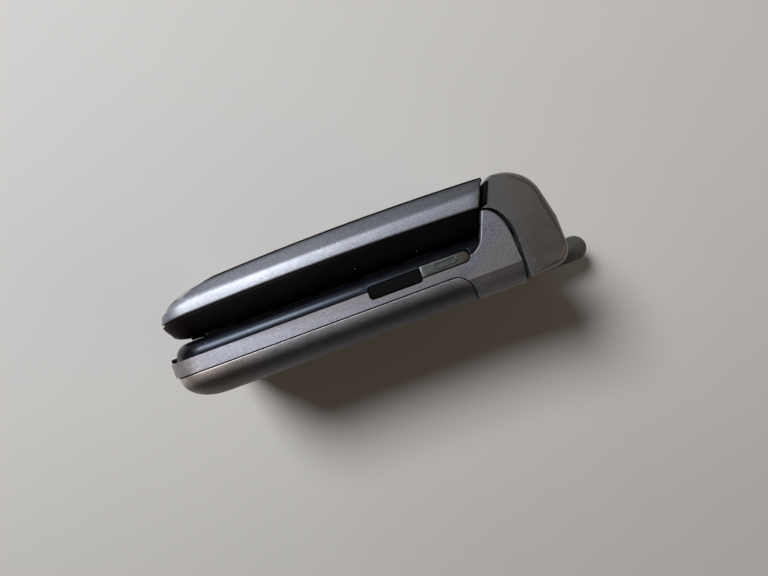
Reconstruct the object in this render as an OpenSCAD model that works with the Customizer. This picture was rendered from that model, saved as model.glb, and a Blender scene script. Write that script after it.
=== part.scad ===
// Clamshell phone with a stub antenna, lying on its left long edge.
// X runs from the chin to the hinge, Y from the rear cover to the lid's outer face,
// and Z from the phone's left side, on which it lies, to its right side.
// Inside the modules X counts from the base's chin face and Y from the rear face.

/* [Body] */
// Width of the phone, from its left side to its right side
phone_w = 45; // [38:0.5:54]
// Length of the base, from the chin face to the hinge cap's end
body_len = 83.7; // [70:0.1:101]
// Wall of the base shells
wall = 1.2; // [1:0.1:1.6]
// Radius of the chin's corners, seen from the front
chin_r = 7; // [5:0.5:8]
// Radius of the hinge end's corners, seen from the front
cap_r = 3; // [2:0.5:4]

/* [Base, in thickness] */
// Top of the battery cover's side, where the parting line runs
seam_y = 6; // [5.5:0.1:6.5]
// Height of the silver band above the parting line
band_h = 3.1; // [2.8:0.1:3.6]
// Height of the keypad cover above the band
front_h = 3.05; // [2.9:0.05:3.6]
// Play between closed lid and keypad cover
lid_gap = 0.7; // [0.6:0.05:1.2]
// Visible gap between two shells
shell_gap = 0.15; // [0.1:0.05:0.3]

/* [Lid] */
// Thickness of the lid at its crown
lid_t = 10.75; // [9.5:0.25:12.5]
// Height of the lid's silver side, from its split to the crown
lid_side_h = 5.8; // [5.2:0.1:6.2]
// Wall of the lid shells
lid_wall = 1.1; // [0.9:0.1:1.4]
// Fall of the lid's crown at its two ends
crown_fall = 0.75; // [0.3:0.05:1]
// Thickness of the glossy lid plate
plate_t = 0.8; // [0.6:0.1:1]
// How far the lid plate stands proud of the lid cover
plate_proud = 0.3; // [0.1:0.05:0.4]

/* [Hinge] */
// Length of the shoulder, from the battery cover's end to the hinge cap's end
shoulder_len = 20; // [18:0.5:22]
// Length of the hinge cap beyond the shoulder's ear
cap_len = 10; // [9.5:0.1:11]
// Distance of the hinge axis from the hinge cap's end
axis_from_end = 6.9; // [6.5:0.1:7.2]
// Depth of the hinge axis below the lid's crown
axis_below_crown = 5.8; // [5.6:0.1:6]
// Radius of the lid's hinge barrel
barrel_r = 3.8; // [3.4:0.1:3.9]
// Length of the lid's hinge barrel
barrel_len = 22.4; // [18:0.2:26]
// Gap between the barrel and the hinge cap all round
barrel_gap = 0.3; // [0.25:0.05:0.5]
// Radius of the hinge pin
pin_r = 1; // [0.8:0.05:1.1]
// Radial clearance of the hinge's running fits
run_fit = 0.05; // [0.03:0.01:0.08]

/* [Antenna] */
// Radius of the antenna stub
stub_r = 3.2; // [2.6:0.1:3.6]
// Length of the antenna stub outside its collar
stub_len = 15.3; // [10:0.1:20]
// Height of the antenna's axis above the rear face
stub_y = 1.6; // [1.6:0.1:3.4]
// Distance of the antenna's axis from the phone's left side
stub_z = 8; // [7:0.5:10]

/* [Keypad] */
// Distance from the chin face to the first key row
keys_start = 8.4; // [8:0.2:10]
// Gap between neighbouring number keys
key_gap = 1.2; // [0.8:0.1:1.6]
// Border between the outer keys and the phone's sides
key_border = 3.6; // [3.4:0.1:5]
// Outer radius of the navigation ring
nav_r = 8.6; // [7.5:0.1:9]
// Radius of the select key in the ring
select_r = 3.9; // [3:0.1:4.5]
// How far the keys stand proud of the keypad cover
key_proud = 0.3; // [0.1:0.05:0.4]
// Play between a key and its window
key_play = 0.2; // [0.15:0.05:0.3]
// How far a key travels when pressed
key_travel = 0.5; // [0.3:0.05:0.5]

/* [Side parts] */
// Length of the silver side key
side_key_len = 10; // [8:0.5:12]
// Height of the silver side key
side_key_h = 2.2; // [1.8:0.1:2.4]
// Length of the rubber headset cover
jack_cover_len = 10.7; // [8.5:0.1:12]
// Height of the rubber headset cover
jack_cover_h = 2.4; // [2.2:0.1:2.8]
// Length of the volume key on the left side
volume_len = 12; // [9:0.5:14]
// Radius of the headset socket's bore
headset_r = 1.25; // [1.25:0.05:1.3]
// Radius of the charger socket's bore
charger_r = 1.05; // [1:0.05:1.1]
// Depth of the charger socket's bore
charger_depth = 6; // [5:0.5:7]
// Length of the connector cover at the chin
port_len = 17; // [12:0.5:18]
// How far the connector cover stands out of the chin
port_proud = 0.7; // [0.3:0.1:0.8]

/* [Insides] */
// Thickness of the circuit boards
board_t = 0.8; // [0.6:0.1:1]
// Thickness of the battery pack
battery_t = 4.8; // [4:0.1:4.8]
// Radius of the vibration motor's can
motor_r = 1.8; // [1.5:0.1:1.8]
// Radius of the case screws' shanks
screw_r = 0.7; // [0.6:0.05:0.8]
// Radius of the case screws' heads
head_r = 1.5; // [1.3:0.1:1.6]
// Small seating gap between packed inner pieces
seat = 0.1; // [0.05:0.05:0.15]

/* [Hidden] */
$fn = 64;
eps = 0.5;
band_y = seam_y + band_h;
base_t = band_y + front_h;
lid_y = base_t + lid_gap;
crown_y = lid_y + lid_t;
split_y = crown_y - lid_side_h;
shoulder_x = body_len - shoulder_len;
ear_x = body_len - cap_len - 0.1;
axis_x = body_len - axis_from_end;
axis_y = crown_y - axis_below_crown;
mid_z = phone_w / 2;
barrel_z = mid_z - barrel_len / 2;
end_slant = 0.503;
end_gap = 0.62;
lid_len = body_len - 11.55;
crown_span = lid_len / 2.405;
split_span = lid_len / 2.22;
split_fall = 0.65;
// the nose's extra fall, per square millimetre from where it starts
nose_len = 15.8;
nose_drop = 0.01325;
tip_x = 0.9;
slide_fit = 0.1;
origin_x = (body_len + stub_len + 0.3 - port_proud) / 2;
collar_out = 0.25;
origin_y = (crown_y + stub_y - stub_r - collar_out) / 2;

// ---- curves of the side view ----

// Points on an ellipse about (cx, cy), from angle a to angle b
function oval(cx, cy, rx, ry, a, b, n = 8) =
    [for (i = [0:n]) let (t = a + (b - a) * i / n) [cx + rx * cos(t), cy + ry * sin(t)]];

// Height of the lid's crown at a distance x from the chin
function crown_at(x) =
    crown_y - crown_fall * pow((x - lid_len * 0.61) / crown_span, 2)
        - nose_drop * pow(max(0, nose_len - x), 2);

// Height of the split between the lid's two covers
function split_at(x) = split_y - split_fall * pow((x - lid_len * 0.51) / split_span, 2);

// Where the lid's slanted end lies at a height y
function end_at(y) = lid_len - end_slant * (crown_at(lid_len) - y);

// Points along the crown, lowered by d, from x = a to x = b
function crown_line(a, b, d = 0, n = 10) =
    [for (i = [0:n]) let (x = a + (b - a) * i / n) [x, crown_at(x) - d]];

// Points along the split, lowered by d, from x = a to x = b
function split_line(a, b, d = 0, n = 6) =
    [for (i = [0:n]) let (x = a + (b - a) * i / n) [x, split_at(x) - d]];

// The round end of the battery cover, grown by g, from its top down to the rear face
function seam_end(g) = oval(shoulder_x - 3.9, 0, 3.9 + g, seam_y + g, 90, 0);

// The ear's inner edge, grown by g towards the ear's metal, from the band up
function ear_inside(g) = oval(shoulder_x, base_t + 1.05, 4.1 + g, base_t + 1.05 - band_y + g, -90, -18, 6);

// The ear's outer edge, grown by g, from its tip down
function ear_outside(g) = oval(ear_x - 4.2, band_y, 4.2 + g, split_y - 1.2 - band_y + g, 86, 0);

// ---- helpers ----

// Moves the phone so that the row's origin is under the middle of its box
module placed() {
    translate([-origin_x, -origin_y, 0]) children();
}

// Extrudes a side-view outline across the phone, from z = a to z = b
module across(a, b) {
    translate([0, 0, a]) linear_extrude(b - a) children();
}

// Extrudes a front-view outline, drawn in X and Z, from y = a to y = b
module through(a, b) {
    translate([0, b, 0]) rotate([90, 0, 0]) linear_extrude(b - a) children();
}

// A rectangle with round corners, from (x0, z0) to (x1, z1)
module round_rect(x0, z0, x1, z1, r) {
    translate([x0 + r, z0]) square([x1 - x0 - 2 * r, z1 - z0]);
    translate([x0, z0 + r]) square([x1 - x0, z1 - z0 - 2 * r]);
    for (x = [x0 + r, x1 - r], z = [z0 + r, z1 - r]) translate([x, z]) circle(r);
}

// Front-view outline with round chin corners and smaller ones at the far end, drawn in by d
module plan(x0, x1, r0, r1, d = 0) {
    a = x0 + d;
    b = x1 - d;
    w = phone_w - d;
    translate([a + r0, d]) square([b - a - r0 - r1, w - d]);
    translate([a, d + r0]) square([b - a, w - d - 2 * r0]);
    translate([b - r0 - r1, d + r1]) square([r0 + r1, w - d - 2 * r1]);
    for (z = [d + r0, w - r0]) translate([a + r0, z]) circle(r0);
    for (z = [d + r1, w - r1]) translate([b - r1, z]) circle(r1);
}

module block(x0, x1, y0, y1, z0, z1) {
    translate([x0, y0, z0]) cube([x1 - x0, y1 - y0, z1 - z0]);
}

// A round rod along X, Y or Z
module rod_x(x0, x1, y, z, r) {
    translate([x0, y, z]) rotate([0, 90, 0]) cylinder(r = r, h = x1 - x0);
}

module rod_y(y0, y1, x, z, r) {
    translate([x, y1, z]) rotate([90, 0, 0]) cylinder(r = r, h = y1 - y0);
}

module rod_z(z0, z1, x, y, r) {
    translate([x, y, z0]) cylinder(r = r, h = z1 - z0);
}

// ---- keypad layout ----
nav_x = shoulder_x - 4.6 - nav_r;
row_pitch = (nav_x - nav_r - keys_start) / 4;
key_len = row_pitch - key_gap;
col_pitch = (phone_w - 2 * key_border + key_gap) / 3;
key_w = col_pitch - key_gap;
key_top = base_t + key_proud;
cover_in = base_t - 1.1;
flange_y = cover_in - 0.45;
key_round = 1.2;
flange_out = 0.45;
ring_gap = 1.5;
fringe_w = mid_z - nav_r - ring_gap - key_border;

// Outline of the number key in a row and column, grown by g
module number_outline(row, col, g) {
    x = keys_start + row * row_pitch;
    z = key_border + col * col_pitch;
    round_rect(x - g, z - g, x + key_len + g, z + key_w + g, key_round + g);
}

// Outline of one of the four keys beside the ring: side is -1 or 1, upper is 0 or 1, grown by g
module side_outline(side, upper, g) {
    z = mid_z + side * (nav_r + ring_gap + fringe_w / 2);
    x = nav_x - nav_r + 0.3 + upper * (nav_r + 0.3);
    w = fringe_w / 2;
    round_rect(x - g, z - w - g, x + nav_r - 1 + g, z + w + g, key_round + g);
}

// A key cap with its flange under the keypad cover; the outline is drawn at grow = 0 by its child
module capped_key() {
    through(flange_y + 0.34, key_top) children(0);
    through(flange_y, flange_y + 0.35) children(1);
}

module number_key(row, col) {
    color("gainsboro") placed() capped_key() {
        number_outline(row, col, 0);
        number_outline(row, col, flange_out);
    }
}

module fringe_key(side, upper) {
    color("silver") placed() capped_key() {
        side_outline(side, upper, 0);
        side_outline(side, upper, flange_out);
    }
}

// ---- side pocket ----
pocket_y = band_y - 0.35;
key_x0 = shoulder_x - 9.5;
cover_x1 = key_x0 - 0.2;
cover_x0 = cover_x1 - jack_cover_len;
volume_x0 = cover_x1 - 8.5;
side_t = wall + 0.3;

// Side-view outline of the side key, grown by g; its hinge end is round
module side_key_outline(g) {
    h = side_key_h / 2;
    translate([key_x0 - g, pocket_y + 0.5 - h - g]) square([side_key_len - h + g, side_key_h + 2 * g]);
    translate([key_x0 + side_key_len - h, pocket_y + 0.5]) circle(h + g);
}

// Side-view outline of the headset cover, grown by g
module headset_outline(g) {
    round_rect(cover_x0 - g, pocket_y - jack_cover_h / 2 - g, cover_x1 + g, pocket_y + jack_cover_h / 2 + g,
        0.6 + g);
}

// Side-view outline of the volume key, grown by g
module volume_outline(g) {
    round_rect(volume_x0 - g, pocket_y - side_key_h / 2 - g, volume_x0 + volume_len + g,
        pocket_y + side_key_h / 2 + g, 0.8 + g);
}

// Everything that is cut through both base shells for the side parts
module side_cuts() {
    deep = side_t + 0.4 + key_travel;
    across(phone_w - deep, phone_w + eps) side_key_outline(key_play);
    across(phone_w - deep, phone_w + eps) headset_outline(key_play);
    across(-eps, deep) volume_outline(key_play);
}

// ---- base shells ----
chin_screw_x = 6.3;
chin_screw_z = 5.2;
floor_y = seam_y + 0.9;
boss_r = 1.5;
head_t = 0.7;
head_y = 1.85;

// Places its child at both chin screws, mirrored about the phone's middle
module at_chin_screws() {
    for (z = [chin_screw_z, phone_w - chin_screw_z]) translate([chin_screw_x, 0, z]) children();
}

module keypad_profile() {
    polygon(concat([[1.5, band_y], [2.6, base_t - 0.35], [4.6, base_t], [shoulder_x + 3.85, base_t]],
        [for (i = [6:-1:0]) ear_inside(-shell_gap)[i]]));
}

module keypad_cover() {
    color([0.05, 0.05, 0.07]) placed() difference() {
        union() {
            difference() {
                intersection() {
                    across(0, phone_w) keypad_profile();
                    through(band_y - 1, base_t + 1) plan(0, body_len, chin_r, cap_r);
                }
                through(band_y - eps, cover_in) plan(2.6, shoulder_x + 0.2, chin_r - 2, 1, wall);
            }
            at_chin_screws() rod_y(floor_y + seat, cover_in + 0.2, 0, 0, boss_r);
        }
        at_chin_screws() rod_y(floor_y, cover_in - 0.3, 0, 0, screw_r + run_fit);
        through(cover_in - eps, base_t + eps)
            for (row = [0:3], col = [0:2]) number_outline(row, col, key_play);
        through(cover_in - eps, base_t + eps)
            for (side = [-1, 1], upper = [0, 1]) side_outline(side, upper, key_play);
        rod_y(cover_in - eps, base_t + eps, nav_x, mid_z, nav_r + key_play);
        side_cuts();
    }
}

module frame_profile() {
    polygon(concat([[0, seam_y + slide_fit], [0, band_y], [shoulder_x, band_y]],
        ear_inside(0),
        [[ear_x - 4.15, split_y - 1.25]],
        ear_outside(0),
        [[ear_x + 0.3, 0]],
        [for (i = [8:-1:0]) seam_end(slide_fit)[i]]));
}

// The hollow in the shoulder that holds the loudspeaker
module shoulder_hollow() {
    polygon([[shoulder_x + 1.4, wall], [ear_x - wall, wall], [ear_x - wall - 0.2, band_y],
        [ear_x - 2.9, base_t - 0.2], [shoulder_x + 5.6, base_t - 0.2], [shoulder_x + 4.6, band_y + 1],
        [shoulder_x + 1.4, floor_y + 0.6]]);
}

// How far the neck reaches from the hinge axis
neck_reach = 7.6;

// The space that the lid's barrel and neck sweep through, between the hinge cheeks
module hinge_sweep() {
    across(barrel_z - barrel_gap, barrel_z + barrel_len + barrel_gap) {
        translate([axis_x, axis_y]) circle(barrel_r + barrel_gap);
        intersection() {
            translate([axis_x, axis_y]) circle(neck_reach);
            translate([axis_x, axis_y])
                polygon([[-12, -3], [0, 0], [2.6, -3.3], [7.4, 0], [12, 0], [12, 12], [-12, 12]]);
        }
    }
}

port_z0 = mid_z - port_len / 2;
port_y = seam_y + band_h / 2;
port_h = 2.2;
// half the height of the connector's shell
connector_h = 0.85;
charger_z = phone_w - 10.5;
bay_x0 = 3.9;
bay_x1 = 11.6;
bay_y = 2.9;

module mid_frame() {
    color("silver") placed() difference() {
        union() {
            difference() {
                intersection() {
                    across(0, phone_w) frame_profile();
                    through(-1, crown_y) plan(0, body_len, chin_r, cap_r);
                }
                through(floor_y, band_y + eps) plan(0, shoulder_x, chin_r - wall, 1, wall);
                across(wall, phone_w - wall) shoulder_hollow();
            }
            intersection() {
                block(2.9, bay_x1 + 1.2, bay_y - 0.9, seam_y + 0.3, 3, phone_w - 3);
                through(0, seam_y + 1) plan(0, body_len, chin_r - wall, 1, wall + 0.7);
                across(0, phone_w) chin_inside(0.3);
            }
            // spigot on which the hinge cap sits
            block(ear_x - 0.6, ear_x + 3.4, 2.3, axis_y - barrel_r - 2.5, stub_z + stub_r + 3, phone_w - 6);
        }
        // compartment in the chin for the motor and the sockets
        block(bay_x0, bay_x1, bay_y, floor_y + eps, 8.4, phone_w - 3.6 - wall);
        // window for the subscriber card
        block(card_x0 + 1, card_x1 - 1, seam_y - eps, floor_y + eps, card_z0 + 1, card_z1 - 1);
        at_chin_screws() rod_y(bay_y - 2, floor_y + eps, 0, 0, screw_r + 0.15);
        at_chin_screws() rod_y(head_y - 1, head_y + head_t + 0.02, 0, 0, head_r + seat);
        // openings in the chin
        rod_x(-eps, bay_x0 + eps, port_y, charger_z, charger_r + 0.45);
        block(-eps, bay_x0 + eps, port_y - port_h / 2 + 0.2, port_y + port_h / 2 - 0.2, port_z0 + 1,
            port_z0 + port_len - 1);
        block(-eps, 0.8, port_y - port_h / 2 - slide_fit, port_y + port_h / 2 + slide_fit, port_z0 - slide_fit,
            port_z0 + port_len + slide_fit);
        // sound slots behind the loudspeaker
        for (i = [0:2])
            block(speaker_x + 1 + 2 * i, speaker_x + 2 + 2 * i, -eps, wall + eps, mid_z - 5, mid_z + 5);
        side_cuts();
        hinge_sweep();
    }
}

// Centre of the battery cover's chin curve
chin_curve_x = 7.5;
chin_curve_y = seam_y - 0.4;

// Outline of the battery cover: slanted round chin, flat rear, round hinge end
module rear_profile(d) {
    polygon(concat([[chin_curve_x, seam_y]],
        oval(chin_curve_x, chin_curve_y, chin_curve_x - 0.6 - d, chin_curve_y - d, 176, 270),
        [for (i = [8:-1:0]) seam_end(0)[i]]));
}

// Outline of the room inside the battery cover, drawn in by d
module chin_inside(d) {
    polygon(concat([[shoulder_x + 2, seam_y + 1], [1.6 + d, seam_y + 1]],
        oval(chin_curve_x, chin_curve_y, chin_curve_x - 1.6 - d, chin_curve_y - 1 - d, 180, 270),
        [[shoulder_x + 2, 1 + d]]));
}

latch_y = seam_y - 1.9;
latch_w = 6;
latch_half = 0.8;

module battery_cover() {
    color("lightgray") placed() difference() {
        intersection() {
            across(0, phone_w) rear_profile(0);
            through(-1, seam_y + 1) plan(0, body_len, chin_r, cap_r);
        }
        intersection() {
            across(1, phone_w - 1) chin_inside(0);
            through(-1, seam_y + 2) plan(0, body_len, chin_r - 1, 1, 1);
        }
        block(-1, 3, latch_y - latch_half - slide_fit, latch_y + latch_half + slide_fit,
            mid_z - latch_w / 2 - slide_fit, mid_z + latch_w / 2 + slide_fit);
    }
}

module battery_latch() {
    color([0.2, 0.2, 0.22]) placed() {
        block(0.1, 2.1, latch_y - latch_half, latch_y + latch_half, mid_z - latch_w / 2, mid_z + latch_w / 2);
    }
}

module cap_profile() {
    polygon(concat([[end_at(split_y - 0.35) + end_gap, split_y - 0.35]],
        [[end_at(crown_y - 1.4) + end_gap, crown_y - 1.4]],
        [[end_at(crown_y - 1.4) + 1.4, crown_y - 0.95]],
        oval(body_len - 9, crown_y - 9.05, 7.85, 8.05, 84, 12, 8),
        [[body_len, 6.5]],
        oval(body_len - 3.5, 4.5, 3.5, 3.5, 0, -90, 6),
        [[ear_x + 1.6, 0.75], [ear_x + 0.75, 0.75]],
        [for (i = [8:-1:0]) ear_outside(0.5)[i]]));
}

module hinge_cap() {
    color([0.5, 0.47, 0.45]) placed() difference() {
        union() {
            difference() {
                intersection() {
                    across(0, phone_w) cap_profile();
                    through(-1, crown_y) plan(0, body_len, chin_r, cap_r);
                }
                block(ear_x - 0.5, body_len - 2.2, 2.2, axis_y - barrel_r - 2.4, wall + 0.2,
                    phone_w - wall - 0.2);
            }
            rod_x(body_len - 5.5, body_len + 0.3, stub_y, stub_z, stub_r + collar_out);
        }
        rod_x(body_len - 6, body_len + 1, stub_y, stub_z, 2 + run_fit);
        // seats of the hinge pin and of the cam
        rod_z(3, barrel_z, axis_x, axis_y, pin_r + 0.01);
        rod_z(barrel_z + barrel_len, barrel_z + barrel_len + 6.3, axis_x, axis_y, cam_r + slide_fit);
        hinge_sweep();
    }
}

module antenna_stub() {
    color([0.4, 0.4, 0.38]) placed() {
        rod_x(body_len - 5, body_len + 0.5, stub_y, stub_z, 2);
        rod_x(body_len + 0.3, body_len + 0.3 + stub_len - stub_r, stub_y, stub_z, stub_r);
        translate([body_len + 0.3 + stub_len - stub_r, stub_y, stub_z]) sphere(stub_r);
    }
}

// ---- small outer parts of the base ----

module connector_cover() {
    color([0.75, 0.74, 0.7]) placed() {
        block(-port_proud, 0.7, port_y - port_h / 2, port_y + port_h / 2, port_z0, port_z0 + port_len);
        block(0.6, 1.8, port_y - 0.7, port_y + 0.7, port_z0 + 2, port_z0 + port_len - 2);
    }
}

module headset_cover() {
    color([0.08, 0.08, 0.08]) placed() across(phone_w - 1, phone_w) headset_outline(0);
}

module side_key() {
    color([0.6, 0.63, 0.62]) placed() across(phone_w - side_t - 0.3, phone_w) side_key_outline(0);
}

module volume_key() {
    color("silver") placed() across(0.15, side_t + 0.3) volume_outline(0);
}

module nav_ring() {
    color("silver") placed() difference() {
        union() {
            rod_y(flange_y + 0.34, key_top, nav_x, mid_z, nav_r);
            rod_y(flange_y, flange_y + 0.35, nav_x, mid_z, nav_r + flange_out);
        }
        rod_y(flange_y - eps, key_top + eps, nav_x, mid_z, select_r + key_play);
    }
}

module select_key() {
    color("gainsboro") placed() {
        rod_y(flange_y, key_top - 0.1, nav_x, mid_z, select_r);
    }
}

// ---- inside the base ----
mat_y = flange_y - key_travel - 0.05;
mat_t = 0.6;
board_y = mat_y - mat_t - seat - board_t;
speaker_x = shoulder_x + 2;
card_x0 = shoulder_x - 30.5;
card_x1 = shoulder_x - 4.5;
card_z1 = phone_w - 14.4;
card_z0 = card_z1 - 16;
pack_t = min(battery_t, seam_y - 1 - 2 * seat);
battery_x0 = bay_x1 + 1.9;
battery_x1 = shoulder_x - 6;
contact_pitch = 3;
inner_z = wall + 2.6;
jack_x = cover_x1 - 4.25;

module keypad_mat() {
    color([0.3, 0.3, 0.32]) placed() difference() {
        through(mat_y - mat_t, mat_y) round_rect(keys_start - 0.6, 2.6, shoulder_x - 2.6, phone_w - 2.6, 2);
        block(jack_x - 3.4, jack_x + 3.4, mat_y - 2, mat_y + 2, phone_w - 14, phone_w);
    }
}

module main_board() {
    color([0.05, 0.3, 0.12]) placed() difference() {
        union() {
            block(9, shoulder_x - 2.6, board_y, board_y + board_t, 3, phone_w - 3);
            block(4.5, 9.1, board_y, board_y + board_t, 8, phone_w - 8);
        }
        block(jack_x - 3.4, jack_x + 3.4, board_y - 1, board_y + 2, phone_w - 14, phone_w);
    }
}

module radio_shield() {
    x0 = bay_x1 + 4;
    x1 = card_x0 - 2;
    color([0.7, 0.7, 0.68]) placed() difference() {
        block(x0, x1, floor_y + seat, board_y, 7, phone_w - 7);
        block(x0 + 0.25, x1 - 0.25, floor_y + seat + 0.25, board_y + eps, 7.25, phone_w - 7.25);
    }
}

module card_holder() {
    color([0.75, 0.75, 0.72]) placed() difference() {
        block(card_x0, card_x1, floor_y + seat, board_y, card_z0, card_z1);
        block(card_x0 + 0.3, card_x1 - 0.3, floor_y, floor_y + 1.1, card_z0 + 0.3, card_z1 - 0.3);
    }
}

module subscriber_card() {
    color("white") placed() {
        block(card_x0 + 0.4, card_x1 - 0.4, floor_y + 0.25, floor_y + 1.05, card_z0 + 0.5, card_z1 - 0.5);
    }
}

module battery_pack() {
    color([0.15, 0.15, 0.18]) placed() {
        through(seam_y - seat - pack_t, seam_y - seat)
            round_rect(battery_x0, inner_z, battery_x1, phone_w - inner_z, 1);
    }
}

// Four sprung strips in a moulded block at the battery's hinge end
module battery_contacts() {
    color("gold") placed() {
        block(battery_x1 + 0.8, battery_x1 + 2.2, seam_y - 2.6, seam_y + slide_fit / 2, mid_z - 6, mid_z + 6);
        for (i = [0:3])
            block(battery_x1 + 0.1, battery_x1 + 0.9, seam_y - 2.2, seam_y - 0.6, mid_z - 5.2 + contact_pitch * i,
                mid_z - 3.8 + contact_pitch * i);
    }
}

module system_connector() {
    color([0.2, 0.2, 0.2]) placed() difference() {
        block(2, 8.4, port_y - connector_h, port_y + connector_h, port_z0 + 1.2, port_z0 + port_len - 1.2);
        block(1, 7.4, port_y - connector_h + 0.13, port_y + connector_h - 0.13, port_z0 + 1.6,
            port_z0 + port_len - 1.6);
    }
}

module charger_socket() {
    color([0.2, 0.2, 0.2]) placed() difference() {
        union() {
            block(bay_x0 + seat, bay_x1 - 1.6, port_y - 1.9, board_y, charger_z - 2, charger_z + 2);
            rod_x(0.1, bay_x0 + eps, port_y, charger_z, charger_r + 0.35);
        }
        rod_x(-eps, charger_depth + 0.1, port_y, charger_z, charger_r);
    }
}

module headset_socket() {
    color([0.2, 0.2, 0.2]) placed() difference() {
        block(jack_x - 2.8, jack_x + 2.8, floor_y + seat, mat_y, phone_w - 13.4, phone_w - wall - 0.1);
        rod_z(phone_w - 13, phone_w, jack_x, floor_y + 1.62, headset_r);
    }
}

module microphone() {
    color([0.6, 0.6, 0.55]) placed() rod_y(board_y + board_t, board_y + board_t + 1.2, 5.8, mid_z, 1.5);
}

module loudspeaker() {
    color([0.2, 0.2, 0.2]) placed() {
        through(wall + seat, wall + 3.2) round_rect(speaker_x, mid_z - 8, speaker_x + 6.4, mid_z + 8, 2);
    }
}

can_r = min(motor_r, (port_y - connector_h - bay_y) / 2 - seat);
motor_x = (bay_x0 + bay_x1) / 2;
motor_y = bay_y + can_r + seat;
motor_z = max(9, port_z0 - 5);
shaft_r = 0.4;

module vibration_motor() {
    color([0.7, 0.7, 0.68]) placed() {
        rod_z(motor_z, motor_z + 8, motor_x, motor_y, can_r);
        rod_z(motor_z + 7.9, motor_z + 11.4, motor_x, motor_y, shaft_r);
    }
}

// Half-round weight on the motor's shaft
module vibration_weight() {
    color([0.6, 0.6, 0.6]) placed() difference() {
        rod_z(motor_z + 8.4, motor_z + 11.2, motor_x, motor_y, can_r - 0.1);
        rod_z(motor_z + 8, motor_z + 12, motor_x, motor_y, shaft_r + run_fit);
        block(motor_x - 3, motor_x + 3, motor_y + 2 * shaft_r, motor_y + 4, motor_z + 8, motor_z + 12);
    }
}

module case_screws() {
    color([0.5, 0.5, 0.5]) placed() at_chin_screws() {
        rod_y(head_y, head_y + head_t, 0, 0, head_r);
        rod_y(head_y + head_t / 2, cover_in - 0.8, 0, 0, screw_r);
    }
}

// ---- hinge ----
cam_r = 1.9;
bore_r = 2.7;
bush_z = 5;
cartridge_len = 9.6;

module hinge_pin() {
    color([0.7, 0.7, 0.7]) placed() rod_z(3.4, barrel_z + bush_z - 0.4, axis_x, axis_y, pin_r);
}

module hinge_bush() {
    color("ivory") placed() difference() {
        rod_z(barrel_z, barrel_z + bush_z - 0.2, axis_x, axis_y, pin_r + 0.6);
        rod_z(barrel_z - 1, barrel_z + bush_z, axis_x, axis_y, pin_r + run_fit);
    }
}

// Hexagonal head in the cap's cheek and a round shaft into the cartridge
module hinge_cam() {
    color([0.55, 0.55, 0.58]) placed() {
        rod_z(barrel_z + barrel_len + 0.3, barrel_z + barrel_len + 6, axis_x, axis_y, cam_r);
        rod_z(barrel_z + barrel_len - 3, barrel_z + barrel_len + 0.5, axis_x, axis_y, 1.2);
    }
}

module hinge_cartridge() {
    end_z = barrel_z + barrel_len - 0.2;
    color([0.65, 0.65, 0.68]) placed() difference() {
        rod_z(end_z - cartridge_len, end_z, axis_x, axis_y, bore_r - slide_fit);
        rod_z(end_z - 4, end_z + 1, axis_x, axis_y, 1.2 + run_fit);
    }
}

// Loose coil of the flex cable in the barrel, and its tail into the lid
flex_z0 = barrel_z + bush_z + 0.6;
flex_z1 = barrel_z + barrel_len - cartridge_len - 0.7;

module flex_cable() {
    color([0.8, 0.5, 0.2]) placed() difference() {
        union() {
            rod_z(flex_z0, flex_z1, axis_x, axis_y, 2.3);
            block(lid_len - 6.1, axis_x, axis_y + 1.9, axis_y + 2.1, flex_z0, flex_z1);
            block(lid_len - 6.3, lid_len - 6.1, lid_board_y + board_t, axis_y + 2.1, flex_z0, flex_z1);
        }
        rod_z(flex_z0 - 1, flex_z1 + 1, axis_x, axis_y, 2.05);
    }
}

// ---- lid ----
inner_wall_y = lid_y + 1;
lid_board_y = split_y - 0.6;
display_x0 = 12;
display_x1 = lid_len - 15.5;
window_r = 1;

module inner_profile() {
    polygon(concat([[2.6, lid_y + 0.7], [4.4, lid_y]],
        [[shoulder_x + 3.85, lid_y], [ear_x - 4.65, split_y - 1.3]],
        [[end_at(split_at(lid_len - 2.8)), split_at(lid_len - 2.8) - 0.02]],
        [for (i = [6:-1:0]) split_line(tip_x, lid_len - 3.4, 0.02)[i]]));
}

module lid_neck() {
    polygon([[lid_len - 3.4, split_y - 1], [end_at(crown_y - 2.4) - 0.6, crown_y - 2.6],
        [axis_x - 1.3, axis_y + barrel_r - 0.25], [axis_x - barrel_r + 0.2, axis_y - 0.6]]);
}

lid_screw_x = 6.3;
lid_screw_z = 8.6;

module at_lid_screws() {
    for (z = [lid_screw_z, phone_w - lid_screw_z]) translate([lid_screw_x, 0, z]) children();
}

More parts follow.
